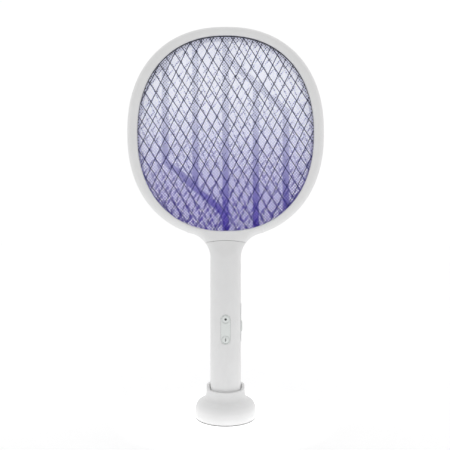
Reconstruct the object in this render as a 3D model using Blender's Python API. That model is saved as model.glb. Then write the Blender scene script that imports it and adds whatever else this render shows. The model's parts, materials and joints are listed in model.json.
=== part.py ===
"""Electric fly swatter standing in its charging dock.

Blender 4.5 script, metres, +Z up. The origin is the centre of the dock's underside, the front faces -Y.
The racket is one rigid body that lifts out of the dock; two keys and a slide switch move on it,
and two spring pins move in the dock.
"""

import math

import bmesh
import bpy
from mathutils import Matrix, Vector, geometry

MM = 0.001

# Clearances
GAP = 0.3 * MM  # between pieces that touch
SPLIT = 0.15 * MM  # from the split plane to each half shell
RUN = 0.35 * MM  # round a moving key

# Racket head: rounded ring round an oval opening
SEAM_Z = 202.7 * MM  # top of the arched seam between handle and head
HEAD_HALF_WIDTH = 113.0 * MM
HEAD_HALF_HEIGHT = 121.0 * MM
HEAD_CENTRE_Z = SEAM_Z + HEAD_HALF_HEIGHT + 2.3 * MM
RIM_AT_SIDE = 13.0 * MM
RIM_AT_END = 10.3 * MM
OPENING_CENTRE_Z = HEAD_CENTRE_Z - 2.0 * MM
OPENING_HALF_WIDTH = HEAD_HALF_WIDTH - RIM_AT_SIDE
OPENING_HALF_HEIGHT = HEAD_HALF_HEIGHT - RIM_AT_END
OVAL_POWER = 2.25
HEAD_HALF_DEPTH = 12.5 * MM
HEAD_ROUNDING = 6.5 * MM
WALL = 2.0 * MM
LIP_RADIUS = 1.2 * MM
RING_STEP_DEG = 7.5

# Neck and handle
HANDLE_RADIUS = 17.6 * MM
FLARE_RADIUS = 29.0 * MM
SEAM_RADIUS = 101.0 * MM
NECK_POWER_GAIN = 0.5
HANDLE_BOTTOM = 9.0 * MM

# Ribs of the rear shell
RIB_PITCH = 35.2 * MM
RIB_WIDTH = 7.5 * MM
RIB_DEPTH = 4.2 * MM
RIB_SETBACK = 0.8 * MM
RIB_SOLVER = "MANIFOLD"  # the exact solver leaves an open edge where a rib meets the ring's lip
DIAGONAL_HIGH = 92.0 * MM
DIAGONAL_LOW = 29.0 * MM
DIAGONAL_SHALLOWER = 0.25 * MM

# Electrode nets, held between the two head shells
NET_THICKNESS = 1.2 * MM
FRONT_NET_Y = -(HEAD_HALF_DEPTH - WALL - 1.5 * MM)
REAR_NET_Y = HEAD_HALF_DEPTH - RIB_SETBACK - RIB_DEPTH - 0.9 * MM - NET_THICKNESS / 2
GRID_Y = (FRONT_NET_Y + REAR_NET_Y) / 2
STRAND_PITCH = 10.6 * MM
STRAND_TILT_DEG = 29.7  # from a strand's normal to the horizontal
STRAND_WIDTH = 1.6 * MM
NET_STEP = 2  # these solids carry every second strand
GRID_STEP = 3
FRONT_NET_TURN_DEG = 4.1
FRONT_NET_NODE = (3.9 * MM, OPENING_CENTRE_Z - 1.0 * MM)
REAR_NET_TURN_DEG = -5.5
REAR_NET_NODE = (-0.3 * MM, OPENING_CENTRE_Z - 2.2 * MM)
BORDER_WIDTH = 3.2 * MM
BORDER_SETBACK = 0.4 * MM

# Screws
SCREW_HEAD_RADIUS = 1.8 * MM
SCREW_HEAD_HEIGHT = 1.2 * MM
SCREW_SHANK_RADIUS = 0.9 * MM
SCREW_RECESS = 1.6 * MM
BOSS_RADIUS = 2.6 * MM
BORE_CLEARANCE = 0.2 * MM
HEAD_SCREW_ANGLES = (15.0, 60.0, 120.0, 165.0, 220.0, 320.0)
HANDLE_SCREW_HEIGHTS = (52.0 * MM, 160.0 * MM)

# Controls
KEY_UPPER_Z = 114.2 * MM
KEY_LOWER_Z = 91.3 * MM
KEY_RADIUS = 4.2 * MM
KEY_TRAVEL = 0.8 * MM
PANEL_RADIUS = 5.3 * MM
PANEL_PROUD = 0.15 * MM
SKIN_DEPTH = 1.5 * MM
SWITCH_Z = 108.0 * MM
SWITCH_PLATE_HALF_LENGTH = 22.0 * MM
SWITCH_PLATE_HALF_WIDTH = 4.6 * MM
SWITCH_PROUD = 0.5 * MM
KNOB_HALF_LENGTH = 6.0 * MM
KNOB_HALF_WIDTH = 2.4 * MM
KNOB_PROUD = 1.3 * MM
SWITCH_TRAVEL = 8.0 * MM

# Electronics in the handle
BOARD_Y = -6.2 * MM
BOARD_THICKNESS = 1.6 * MM
BOARD_HALF_WIDTH = 10.0 * MM
COUPLER_HALF_WIDTH = HANDLE_RADIUS - WALL - 0.6 * MM
COUPLER_HALF_DEPTH = 7.0 * MM
COUPLER_BOTTOM = SEAM_Z - 16.7 * MM
BOARD_TOP = COUPLER_BOTTOM - 10.0 * MM
BATTERY_RADIUS = 9.1 * MM
BATTERY_LENGTH = 65.0 * MM
TACT_HALF_SIZE = 3.0 * MM
TRANSFORMER_HALF_SIZE = 7.0 * MM
CAPACITOR_RADIUS = 5.0 * MM
CAPACITOR_LENGTH = 22.0 * MM
LEAD_RADIUS = 0.8 * MM

# Ultraviolet lamp under the nets
WINDOW_HALF_ANGLE_DEG = 20.0
LED_BOARD_HALF_LENGTH = 22.0 * MM
LED_BOARD_THICKNESS = 1.0 * MM
LED_SIZE = 3.4 * MM
LED_HEIGHT = 1.1 * MM
LED_SPACING = 15.0 * MM

# Dock
SOCKET_CLEARANCE = 0.6 * MM
DOCK_RIM_Z = 32.4 * MM
DOCK_BACK_RISE = 4.4 * MM
COLLAR_FOOT_Z = 22.0 * MM
FOOT_REACH = 17.6 * MM  # from the handle's surface to the dock's edge
DOCK_RADIUS = HANDLE_RADIUS + FOOT_REACH
DOCK_WALL = 2.2 * MM
DOCK_SKIRT_Z = 0.7 * MM
DOCK_SCREW_RADIUS = DOCK_RADIUS - 6.0 * MM
DOCK_SCREW_ANGLES = (30.0, 150.0, 270.0)
PAD_RADIUS = DOCK_SCREW_RADIUS - SCREW_HEAD_RADIUS - 1.8 * MM
PAD_THICKNESS = 1.0 * MM
PLATE_THICKNESS = 1.7 * MM
DOCK_BOARD_THICKNESS = 1.0 * MM
WEIGHT_HEIGHT = 7.5 * MM
PIN_SPACING = 12.0 * MM
PIN_RADIUS = 1.2 * MM
PIN_FLANGE_RADIUS = 1.9 * MM
PIN_PROUD = 1.0 * MM
PIN_TRAVEL = 0.8 * MM
CONTACT_RADIUS = 2.2 * MM
CAP_THICKNESS = 3.0 * MM
USB_HALF_WIDTH = 4.5 * MM
USB_HEIGHT = 3.2 * MM
USB_LENGTH = 8.6 * MM

# Heights that follow from the ones above
SOCKET_RADIUS = HANDLE_RADIUS + SOCKET_CLEARANCE
SOCKET_FLOOR = HANDLE_BOTTOM - GAP
CAP_BOTTOM = SOCKET_FLOOR + PIN_PROUD + GAP
CAP_TOP = CAP_BOTTOM + CAP_THICKNESS
BATTERY_BOTTOM = CAP_TOP + GAP
BOARD_BOTTOM = BATTERY_BOTTOM + BATTERY_LENGTH + 4.2 * MM
WEIGHT_INNER_RADIUS = SOCKET_RADIUS + DOCK_WALL + 0.8 * MM
WEIGHT_OUTER_RADIUS = DOCK_SCREW_RADIUS - BOSS_RADIUS - 0.4 * MM
DOCK_PLATE_TOP = PAD_THICKNESS + GAP + PLATE_THICKNESS
DOCK_BOARD_TOP = DOCK_PLATE_TOP + GAP + DOCK_BOARD_THICKNESS

FINISHES = {
    "white_abs": ((0.84, 0.84, 0.83), 0.38, 0.0),
    "net_steel": ((0.10, 0.11, 0.20), 0.42, 0.8),
    "grid_steel": ((0.25, 0.26, 0.55), 0.35, 0.9),
    "black_nylon": ((0.03, 0.03, 0.035), 0.6, 0.0),
    "clear_window": ((0.72, 0.68, 0.95), 0.12, 0.0),
    "led_package": ((0.55, 0.42, 0.95), 0.25, 0.0),
    "circuit_board": ((0.04, 0.22, 0.10), 0.5, 0.0),
    "key_plastic": ((0.78, 0.81, 0.80), 0.45, 0.0),
    "switch_grey": ((0.70, 0.71, 0.71), 0.5, 0.0),
    "screw_steel": ((0.56, 0.57, 0.58), 0.3, 1.0),
    "contact_brass": ((0.83, 0.66, 0.32), 0.25, 1.0),
    "battery_wrap": ((0.10, 0.22, 0.42), 0.45, 0.0),
    "component_black": ((0.05, 0.05, 0.05), 0.55, 0.0),
    "red_lead": ((0.55, 0.04, 0.03), 0.5, 0.0),
    "dark_lead": ((0.03, 0.03, 0.03), 0.5, 0.0),
    "ballast_iron": ((0.22, 0.22, 0.23), 0.7, 0.9),
    "foot_rubber": ((0.06, 0.06, 0.06), 0.85, 0.0),
}


# ---------------------------------------------------------------- scene helpers


def clear_scene():
    for piece in list(bpy.data.objects):
        bpy.data.objects.remove(piece, do_unlink=True)


def finish(name):
    found = bpy.data.materials.get(name)
    if found:
        return found
    colour, roughness, metallic = FINISHES[name]
    made = bpy.data.materials.new(name)
    made.use_nodes = True
    shader = made.node_tree.nodes["Principled BSDF"]
    shader.inputs["Base Color"].default_value = (*colour, 1.0)
    shader.inputs["Roughness"].default_value = roughness
    shader.inputs["Metallic"].default_value = metallic
    made.diffuse_color = (*colour, 1.0)
    return made


def group(name, height):
    """An empty on the lifting axis, which carries the pieces of one half of the product."""
    made = bpy.data.objects.new(name, None)
    made.location.z = height
    bpy.context.scene.collection.objects.link(made)
    return made


def place(obj, parent, material_name, origin=(0.0, 0.0, 0.0)):
    """Gives a piece its material, its parent and an origin of its own."""
    obj.data.materials.clear()
    obj.data.materials.append(finish(material_name))
    obj.data.transform(Matrix.Translation(-Vector(origin)))
    obj.parent = parent
    obj.location = Vector(origin) - parent.location
    return obj


def linked(name, mesh):
    obj = bpy.data.objects.new(name, mesh)
    bpy.context.scene.collection.objects.link(obj)
    return obj


def tidy(mesh, smooth_deg=35.0):
    bm = bmesh.new()
    bm.from_mesh(mesh)
    bmesh.ops.remove_doubles(bm, verts=bm.verts, dist=0.002 * MM)
    bmesh.ops.dissolve_degenerate(bm, edges=bm.edges, dist=0.001 * MM)
    on_axis = [edge for edge in bm.edges if not edge.link_faces]
    bmesh.ops.delete(bm, geom=on_axis, context="EDGES")
    bmesh.ops.recalc_face_normals(bm, faces=bm.faces)
    bm.to_mesh(mesh)
    bm.free()
    mesh.shade_smooth()
    mesh.set_sharp_from_angle(angle=math.radians(smooth_deg))
    return mesh


def solid(name, points, faces):
    mesh = bpy.data.meshes.new(name)
    mesh.from_pydata([tuple(point) for point in points], [], faces)
    return linked(name, tidy(mesh))


def swept(name, rings, closed=False):
    """Skins a row of loops. The open ends of an open row are closed with strips across the loop."""
    count = len(rings[0])
    faces = []
    for index in range(len(rings) if closed else len(rings) - 1):
        first = index * count
        second = (index + 1) % len(rings) * count
        for k in range(count):
            after = (k + 1) % count
            faces.append((first + k, first + after, second + after, second + k))
    if not closed:
        for first in (0, (len(rings) - 1) * count):
            for k in range(count // 2 - 1):
                faces.append((first + k, first + k + 1, first + count - 2 - k, first + count - 1 - k))
    return solid(name, [point for ring in rings for point in ring], faces)


def turned(name, profile, segments=32, centre=(0.0, 0.0), start_deg=0.0, sweep_deg=360.0, lift=None):
    """Turns a closed profile of (radius, height) round a vertical axis."""
    whole = sweep_deg >= 360.0
    steps = segments if whole else segments + 1
    rings = []
    for index in range(steps):
        angle = math.radians(start_deg + sweep_deg * index / segments)
        ring = []
        for radius, height in profile:
            raised = height + (lift(angle, height) if lift else 0.0)
            x = centre[0] + radius * math.cos(angle)
            ring.append((x, centre[1] + radius * math.sin(angle), raised))
        rings.append(ring)
    return swept(name, rings, closed=whole)


def box(name, low, high):
    size = [b - a for a, b in zip(low, high)]
    middle = [(a + b) / 2 for a, b in zip(low, high)]
    mesh = bpy.data.meshes.new(name)
    bm = bmesh.new()
    matrix = Matrix.Translation(middle) @ Matrix.Diagonal((*size, 1.0))
    bmesh.ops.create_cube(bm, size=1.0, matrix=matrix)
    bm.to_mesh(mesh)
    bm.free()
    return linked(name, mesh)


def bevelled_box(name, low, high, radius):
    made = box(name, low, high)
    modifier = made.modifiers.new("edge", "BEVEL")
    modifier.width = radius
    modifier.segments = 2
    return made


def rod(name, start, end, radius, segments=14):
    """A round bar between two points."""
    start = Vector(start)
    along = Vector(end) - start
    mesh = bpy.data.meshes.new(name)
    bm = bmesh.new()
    turn = along.to_track_quat("Z", "Y").to_matrix().to_4x4()
    matrix = Matrix.Translation(start + along / 2) @ turn
    bmesh.ops.create_cone(
        bm,
        cap_ends=True,
        segments=segments,
        radius1=radius,
        radius2=radius,
        depth=along.length,
        matrix=matrix,
    )
    bm.to_mesh(mesh)
    bm.free()
    return linked(name, tidy(mesh))


def plate(name, outline, holes, low_y, high_y):
    """A flat plate parallel to the XZ plane, from closed outlines of (x, z)."""
    loops = [outline, *holes]
    flat = [point for loop in loops for point in loop]
    count = len(flat)
    triangles = geometry.tessellate_polygon([[Vector((x, z, 0.0)) for x, z in loop] for loop in loops])
    points = [(x, low_y, z) for x, z in flat] + [(x, high_y, z) for x, z in flat]
    faces = [tuple(face) for face in triangles]
    faces += [tuple(index + count for index in reversed(face)) for face in triangles]
    start = 0
    for loop in loops:
        for k in range(len(loop)):
            after = start + (k + 1) % len(loop)
            faces.append((start + k, after, after + count, start + k + count))
        start += len(loop)
    return solid(name, points, faces)


def prism(name, outline, low_x, high_x):
    """A bar along X from an outline of (y, z)."""
    rings = [[(x, y, z) for y, z in outline] for x in (low_x, high_x)]
    return swept(name, rings)


def helper(obj):
    obj.hide_render = True
    obj.display_type = "WIRE"
    return obj


def combine(obj, other, operation, solver="EXACT"):
    modifier = obj.modifiers.new(other.name, "BOOLEAN")
    modifier.operation = operation
    modifier.object = helper(other)
    modifier.solver = solver
    return obj


# ---------------------------------------------------------------- outlines


def oval_point(angle, half_width, half_height, centre_z):
    """The point of an oval at an angle seen from its centre, from +X towards +Z."""
    c, s = math.cos(angle), math.sin(angle)
    reach = (abs(c / half_width) ** OVAL_POWER + abs(s / half_height) ** OVAL_POWER) ** (-1 / OVAL_POWER)
    return Vector((reach * c, centre_z + reach * s))


def opening_point(angle, outward=0.0):
    return oval_point(angle, OPENING_HALF_WIDTH + outward, OPENING_HALF_HEIGHT + outward, OPENING_CENTRE_Z)


def opening_outline(outward, start_deg=0.0, end_deg=360.0, steps=48):
    """Points of the opening's outline, moved outward; the last point is left out of a whole turn."""
    whole = end_deg - start_deg >= 360.0
    count = steps if whole else steps + 1
    turn = math.radians(end_deg - start_deg) / steps
    return [tuple(opening_point(math.radians(start_deg) + turn * k, outward)) for k in range(count)]


def bisect(test, low, high):
    """The value between low, where the test holds, and high, where it doesn't."""
    for _ in range(40):
        middle = (low + high) / 2
        if test(middle):
            low = middle
        else:
            high = middle
    return low


def flare_centre_height():
    """The height at which the neck's fillet is tangent to the head's outline."""
    samples = [
        oval_point(math.radians(-90.0 + k * 0.5), HEAD_HALF_WIDTH, HEAD_HALF_HEIGHT, HEAD_CENTRE_Z)
        for k in range(120)
    ]

    def clear(height):
        centre = Vector((HANDLE_RADIUS + FLARE_RADIUS, height))
        return min((point - centre).length for point in samples) > FLARE_RADIUS

    return bisect(clear, HEAD_CENTRE_Z - HEAD_HALF_HEIGHT * 1.5, HEAD_CENTRE_Z)


FLARE_Z = flare_centre_height()


def neck_half_width(z):
    rise = min(max(z - FLARE_Z, 0.0), FLARE_RADIUS)
    return HANDLE_RADIUS + FLARE_RADIUS - math.sqrt(FLARE_RADIUS**2 - rise**2)


def seam_height(x):
    """The seam between head and handle is an arch."""
    return SEAM_Z - x * x / (2 * SEAM_RADIUS)


SEAM_HALF_WIDTH = bisect(lambda x: neck_half_width(seam_height(x)) > x, 0.0, HEAD_HALF_WIDTH)


def flare_share(z):
    share = min(max((z - FLARE_Z) / (SEAM_Z - FLARE_Z), 0.0), 1.0)
    return share * share * (3 - 2 * share)


def neck_half_depth(z):
    return HANDLE_RADIUS + (HEAD_HALF_DEPTH - HANDLE_RADIUS) * flare_share(z)


def neck_power(z):
    return 2.0 + NECK_POWER_GAIN * flare_share(z)


def seam_half_depth(x):
    """Half the thickness of the neck where the seam crosses x."""
    z = seam_height(x)
    power = neck_power(z)
    share = min(abs(x) / neck_half_width(z), 1.0)
    return neck_half_depth(z) * (1 - share**power) ** (1 / power)


def in_head(x, z):
    """True inside the head's outline with its neck, above the seam."""
    rise = abs(z - HEAD_CENTRE_Z) / HEAD_HALF_HEIGHT
    in_oval = (abs(x) / HEAD_HALF_WIDTH) ** OVAL_POWER + rise**OVAL_POWER < 1
    in_neck = z < FLARE_Z + FLARE_RADIUS and abs(x) < neck_half_width(z)
    return (in_oval or in_neck) and z > seam_height(x)


def head_rays():
    """Pairs of points, on the opening and on the head's outline, all the way round."""
    corner = Vector((SEAM_HALF_WIDTH, seam_height(SEAM_HALF_WIDTH) - OPENING_CENTRE_Z))
    corner_deg = math.degrees(math.atan2(corner.y, corner.x))
    steps = round(360 / RING_STEP_DEG)
    corner_turn = 90 + corner_deg
    angles = {k * RING_STEP_DEG for k in range(steps)}
    angles |= {side * turn % 360 for side in (-1, 1) for turn in (3.5, corner_turn, corner_turn + 2)}
    rays = []
    for degrees in sorted(angles):
        angle = math.radians(degrees - 90)
        inner = opening_point(angle)
        direction = (inner - Vector((0.0, OPENING_CENTRE_Z))).normalized()

        def inside(reach):
            return in_head(inner.x + direction.x * reach, inner.y + direction.y * reach)

        reach = bisect(inside, 0.0, HEAD_HALF_HEIGHT)
        rays.append((inner, inner + direction * reach, direction))
    return rays


# ---------------------------------------------------------------- racket head


def ring_section(inner, outer, direction, foot_depth):
    """The channel section of a head shell, as (point in the outline plane, depth)."""
    edge = seam_half_depth(outer.x) if outer.y < seam_height(0) + GAP and abs(outer.x) < SEAM_HALF_WIDTH else 0.0
    cavity = HEAD_HALF_DEPTH - WALL
    edge_in = max(edge - WALL, 0.0)
    section = [
        (inner, foot_depth),
        (inner, HEAD_HALF_DEPTH - LIP_RADIUS),
        (inner + direction * LIP_RADIUS * 0.3, HEAD_HALF_DEPTH - LIP_RADIUS * 0.3),
        (inner + direction * LIP_RADIUS, HEAD_HALF_DEPTH),
    ]
    for degrees in (90, 55, 20, 0):
        turn = math.radians(degrees)
        back = HEAD_ROUNDING * (1 - math.cos(turn))
        depth = edge + (HEAD_HALF_DEPTH - edge) * math.sin(turn)
        section.append((outer - direction * back, depth))
    section.append((outer, SPLIT))
    section.append((outer - direction * WALL, SPLIT))
    for degrees in (0, 45, 90):
        turn = math.radians(degrees)
        back = WALL + (HEAD_ROUNDING - WALL) * (1 - math.cos(turn))
        depth = edge_in + (cavity - edge_in) * math.sin(turn)
        section.append((outer - direction * back, depth))
    section.append((inner + direction * WALL, cavity))
    section.append((inner + direction * WALL, foot_depth))
    return section


def head_ring(name, side, foot_depth):
    """A half shell round the opening. side is -1 in front and +1 behind."""
    rings = []
    for inner, outer, direction in head_rays():
        section = ring_section(inner, outer, direction, foot_depth)
        rings.append([(p.x, side * max(depth, SPLIT), p.y) for p, depth in section])
    return swept(name, rings, closed=True)


def head_screw_places():
    """Where the head's screws stand: in the channel outside the nets' borders."""
    places = []
    for degrees in HEAD_SCREW_ANGLES:
        angle = math.radians(degrees)
        point = opening_point(angle, BORDER_WIDTH + BOSS_RADIUS + GAP)
        places.append((point.x, point.y))
    return places


def handle_screw_places():
    x = HANDLE_RADIUS - WALL - BOSS_RADIUS * 0.85
    return [(side * x, z) for z in HANDLE_SCREW_HEIGHTS for side in (-1, 1)]


def screw(name, parent, x, z, head_y, length):
    """A screw along Y that is driven in from behind; head_y is the outer face of its head."""
    shoulder = SCREW_HEAD_HEIGHT
    profile = [
        (0.0, 0.0),
        (SCREW_HEAD_RADIUS, 0.0),
        (SCREW_HEAD_RADIUS, -shoulder),
        (SCREW_SHANK_RADIUS, -shoulder),
        (SCREW_SHANK_RADIUS, -length),
        (0.0, -length - SCREW_SHANK_RADIUS),
    ]
    made = turned(name, profile, segments=10)
    made.data.transform(Matrix.Translation((x, head_y, z)) @ Matrix.Rotation(math.radians(-90), 4, "X"))
    return place(made, parent, "screw_steel", (x, head_y, z))


def screw_pockets(name, places, face_y, floor_y, through_y):
    """Counterbores from a rear face, with a clearance hole on to through_y."""
    cutters = []
    for index, (x, z) in enumerate(places):
        mouth = (x, face_y, z)
        head_hole = rod(f"{name}_head_{index}", mouth, (x, floor_y, z), SCREW_HEAD_RADIUS + BORE_CLEARANCE)
        hole_radius = SCREW_SHANK_RADIUS + BORE_CLEARANCE
        shank_hole = rod(f"{name}_shank_{index}", (x, floor_y + GAP, z), (x, through_y, z), hole_radius, 12)
        cutters += [head_hole, shank_hole]
    return cutters


def bosses(name, places, low_y, high_y, radius=BOSS_RADIUS):
    return [rod(f"{name}_{k}", (x, low_y, z), (x, high_y, z), radius, 10) for k, (x, z) in enumerate(places)]


def subtract_each(obj, cutters, solver="EXACT"):
    for cutter in cutters:
        combine(obj, cutter, "DIFFERENCE", solver)


def union_each(obj, pieces, solver="EXACT"):
    for piece in pieces:
        combine(obj, piece, "UNION", solver)


def coupler_hole():
    """The passage through the end walls of the head shells for the neck coupler."""
    outline = []
    for k in range(24):
        angle = math.radians(15 * k)
        x = (COUPLER_HALF_WIDTH + GAP) * math.cos(angle)
        outline.append((x, (COUPLER_HALF_DEPTH + GAP) * math.sin(angle)))
    top = SEAM_Z + WALL + 1.0 * MM
    rings = [[(x, y, z) for x, y in outline] for z in (SEAM_Z - 12 * MM, top)]
    count = len(outline)
    faces = [tuple(range(count)), tuple(range(2 * count - 1, count - 1, -1))]
    faces += [(k, (k + 1) % count, (k + 1) % count + count, k + count) for k in range(count)]
    return solid("coupler_hole", rings[0] + rings[1], faces)


def front_head_shell(parent, hole):
    foot = -FRONT_NET_Y + NET_THICKNESS / 2 + GAP
    made = head_ring("front_head_shell", -1, foot)
    places = head_screw_places()
    union_each(made, bosses("front_boss", places, -HEAD_HALF_DEPTH + WALL * 0.6, -SPLIT))
    bore = SCREW_SHANK_RADIUS + BORE_CLEARANCE
    bores = bosses("front_bore", places, -HEAD_HALF_DEPTH + WALL * 1.4, HEAD_HALF_DEPTH, bore)
    subtract_each(made, bores)
    combine(made, hole, "DIFFERENCE")
    return place(made, parent, "white_abs")


def rib(name, start, end, width, shallower):
    """A flat bar between two points of the head's plane, behind the rear net."""
    start, end = Vector(start), Vector(end)
    along = (end - start).normalized()
    across = Vector((-along.y, along.x)) * width / 2
    corners = [start + across, start - across, end - across, end + across]
    far = HEAD_HALF_DEPTH - RIB_SETBACK - shallower
    near = far - RIB_DEPTH + 2 * shallower
    return plate(name, [tuple(corner) for corner in corners], [], near, far)


def opening_height(x, side):
    """Height of the opening's edge above or below x."""
    share = (1 - (abs(x) / OPENING_HALF_WIDTH) ** OVAL_POWER) ** (1 / OVAL_POWER)
    return OPENING_CENTRE_Z + side * OPENING_HALF_HEIGHT * share


def ribs():
    """Five upright bars, and two diagonals on which the outer bars end."""
    slope = (DIAGONAL_HIGH - DIAGONAL_LOW) / (2 * RIB_PITCH)
    into_ring = WALL / 2
    made = []
    for k in (-2, -1, 0, 1, 2):
        x = k * RIB_PITCH
        inner_edge = max(abs(x) - RIB_WIDTH / 2, 0.0)
        top = opening_height(inner_edge, 1) + into_ring
        bottom = opening_height(inner_edge, -1) - into_ring
        if k < 0:
            bottom = OPENING_CENTRE_Z - DIAGONAL_HIGH - slope * x
        elif k > 0:
            top = OPENING_CENTRE_Z + DIAGONAL_HIGH - slope * x
        made.append(rib(f"upright_{k + 2}", (x, bottom), (x, top), RIB_WIDTH, 0.0))
    for side in (-1, 1):
        near = (0.0, OPENING_CENTRE_Z + side * DIAGONAL_HIGH)
        far = (side * 2 * RIB_PITCH, OPENING_CENTRE_Z + side * DIAGONAL_LOW)
        made.append(rib(f"diagonal_{side + 1}", near, far, RIB_WIDTH, DIAGONAL_SHALLOWER))
    return made


def rear_head_shell(parent, hole):
    foot = REAR_NET_Y + NET_THICKNESS / 2 + GAP
    made = head_ring("rear_head_shell", 1, foot)
    places = head_screw_places()
    union_each(made, ribs(), RIB_SOLVER)
    union_each(made, bosses("rear_boss", places, SPLIT, HEAD_HALF_DEPTH - WALL * 0.6), RIB_SOLVER)
    floor = HEAD_HALF_DEPTH - SCREW_RECESS - SCREW_HEAD_HEIGHT - GAP
    pockets = screw_pockets("rear_pocket", places, HEAD_HALF_DEPTH + WALL, floor, -WALL)
    subtract_each(made, pockets, RIB_SOLVER)
    combine(made, hole, "DIFFERENCE", RIB_SOLVER)
    return place(made, parent, "white_abs")


def clipped(polygon, limit):
    """The part of a convex polygon inside another convex polygon, both anticlockwise."""
    result = polygon
    for k, start in enumerate(limit):
        end = limit[(k + 1) % len(limit)]
        edge = (end[0] - start[0], end[1] - start[1])

        def signed(point):
            return edge[0] * (point[1] - start[1]) - edge[1] * (point[0] - start[0])

        kept = []
        for m, point in enumerate(result):
            before = result[m - 1]
            a, b = signed(before), signed(point)
            if (a < 0) != (b < 0):
                t = a / (a - b)
                kept.append((before[0] + t * (point[0] - before[0]), before[1] + t * (point[1] - before[1])))
            if b >= 0:
                kept.append(point)
        result = kept
        if not result:
            return []
    return result


def area(polygon):
    return abs(sum(a[0] * b[1] - b[0] * a[1] for a, b in zip(polygon, polygon[1:] + polygon[:1]))) / 2


def net_cells(turn_deg, node, step):
    """The open diamonds of a net whose strands run in two directions, cut off at its border."""
    limit = opening_outline(BORDER_SETBACK)
    pitch = STRAND_PITCH * step
    half = pitch / 2 - STRAND_WIDTH / 2
    normals = []
    for sign in (1, -1):
        angle = math.radians(turn_deg + sign * STRAND_TILT_DEG)
        normals.append(Vector((math.cos(angle), math.sin(angle))))
    first, second = normals
    spread = first.x * second.y - first.y * second.x

    def crossing(a, b):
        x = (a * second.y - first.y * b) / spread
        z = (first.x * b - a * second.x) / spread
        return (node[0] + x, node[1] + z)

    reach = math.ceil((HEAD_HALF_WIDTH + HEAD_HALF_HEIGHT) / pitch)
    cells = []
    for i in range(-reach, reach):
        for j in range(-reach, reach):
            a, b = (i + 0.5) * pitch, (j + 0.5) * pitch
            corners = [crossing(a + p * half, b + q * half) for p, q in ((-1, -1), (1, -1), (1, 1), (-1, 1))]
            if spread < 0:
                corners.reverse()
            cell = clipped(corners, limit)
            if len(cell) > 2 and area(cell) > (2.5 * MM) ** 2:
                cells.append(cell)
    return cells


def net(name, parent, middle_y, turn_deg, node, step, material_name):
    outline = opening_outline(BORDER_WIDTH)
    half = NET_THICKNESS / 2
    made = plate(name, outline, net_cells(turn_deg, node, step), middle_y - half, middle_y + half)
    return place(made, parent, material_name)


def spacer_span(net_in_front_y, net_behind_y):
    half = NET_THICKNESS / 2 + GAP
    return net_in_front_y + half, net_behind_y - half


def front_net_spacer(parent):
    low, high = spacer_span(FRONT_NET_Y, GRID_Y)
    hole = opening_outline(2 * BORDER_SETBACK)
    made = plate("front_net_spacer", opening_outline(BORDER_WIDTH), [hole], low, high)
    return place(made, parent, "black_nylon")


def ring_sector(start_deg, end_deg, steps):
    outer = opening_outline(BORDER_WIDTH, start_deg, end_deg, steps)
    inner = opening_outline(2 * BORDER_SETBACK, start_deg, end_deg, steps)
    return outer + inner[::-1]


def rear_net_spacer(parent):
    low, high = spacer_span(GRID_Y, REAR_NET_Y)
    outline = ring_sector(-90 + WINDOW_HALF_ANGLE_DEG, 270 - WINDOW_HALF_ANGLE_DEG, 40)
    return place(plate("rear_net_spacer", outline, [], low, high), parent, "black_nylon")


def lamp_window(parent):
    low, high = spacer_span(GRID_Y, REAR_NET_Y)
    half = WINDOW_HALF_ANGLE_DEG - math.degrees(GAP / OPENING_HALF_HEIGHT)
    outline = ring_sector(-90 - half, -90 + half, 8)
    return place(plate("lamp_window", outline, [], low, high), parent, "clear_window")


def lamp_heights():
    """Top of the lamp board and top of its LEDs, just under the nets' borders."""
    led_top = OPENING_CENTRE_Z - OPENING_HALF_HEIGHT - BORDER_WIDTH - GAP
    return led_top - LED_HEIGHT - GAP, led_top


def lamp(parent):
    """Three ultraviolet LEDs on a board under the window."""
    low, high = spacer_span(GRID_Y, REAR_NET_Y)
    board_top, led_top = lamp_heights()
    board = box(
        "uv_led_board",
        (-LED_BOARD_HALF_LENGTH, low, board_top - LED_BOARD_THICKNESS),
        (LED_BOARD_HALF_LENGTH, high, board_top),
    )
    place(board, parent, "circuit_board")
    middle = (low + high) / 2
    half = LED_SIZE / 2
    for k in (-1, 0, 1):
        x = k * LED_SPACING
        led = bevelled_box(
            f"uv_led_{k + 2}",
            (x - half, middle - half, board_top + GAP),
            (x + half, middle + half, led_top),
            0.25 * MM,
        )
        place(led, parent, "led_package")


# ---------------------------------------------------------------- handle


def half_section(z, inward, steps=10):
    """Half of the handle's cross-section at a height, from +X round the open side to -X, as (x, y > 0)."""
    power = neck_power(z)
    half_width = neck_half_width(z) - inward
    half_depth = neck_half_depth(z) - inward
    points = []
    for k in range(steps + 1):
        angle = math.pi * k / steps
        c, s = math.cos(angle), max(math.sin(angle), 0.0)
        x = half_width * math.copysign(abs(c) ** (2 / power), c)
        points.append((x, half_depth * s ** (2 / power)))
    return points


def section_at_share(share, inward):
    """The same half section on the way from the foot of the flare, 0, to the seam's arch, 1."""
    points = []
    for k in range(11):
        z = FLARE_Z
        for _ in range(12):
            x, y = half_section(z, inward)[k]
            z = FLARE_Z + (seam_height(x) - GAP - FLARE_Z) * share
        points.append((x, y, z))
    return points


def handle_half(name, side):
    rings = []
    for z in (HANDLE_BOTTOM, FLARE_Z):
        outer = [(x, y, z) for x, y in half_section(z, 0.0)]
        inner = [(x, y, z) for x, y in half_section(z, WALL)]
        rings.append(outer + inner[::-1])
    for share in (0.35, 0.6, 0.8, 1.0):
        rings.append(section_at_share(share, 0.0) + section_at_share(share, WALL)[::-1])
    rings = [[(x, side * max(y, SPLIT), z) for x, y, z in ring] for ring in rings]
    return swept(name, rings)


def obround(radius, low, high, steps=6):
    """An upright outline with round ends round the two given centres, as (across, height)."""
    points = []
    for centre, start in ((high, 0.0), (low, math.pi)):
        for k in range(steps + 1):
            angle = start + math.pi * k / steps
            points.append((radius * math.cos(angle), centre + radius * math.sin(angle)))
    return points


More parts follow.
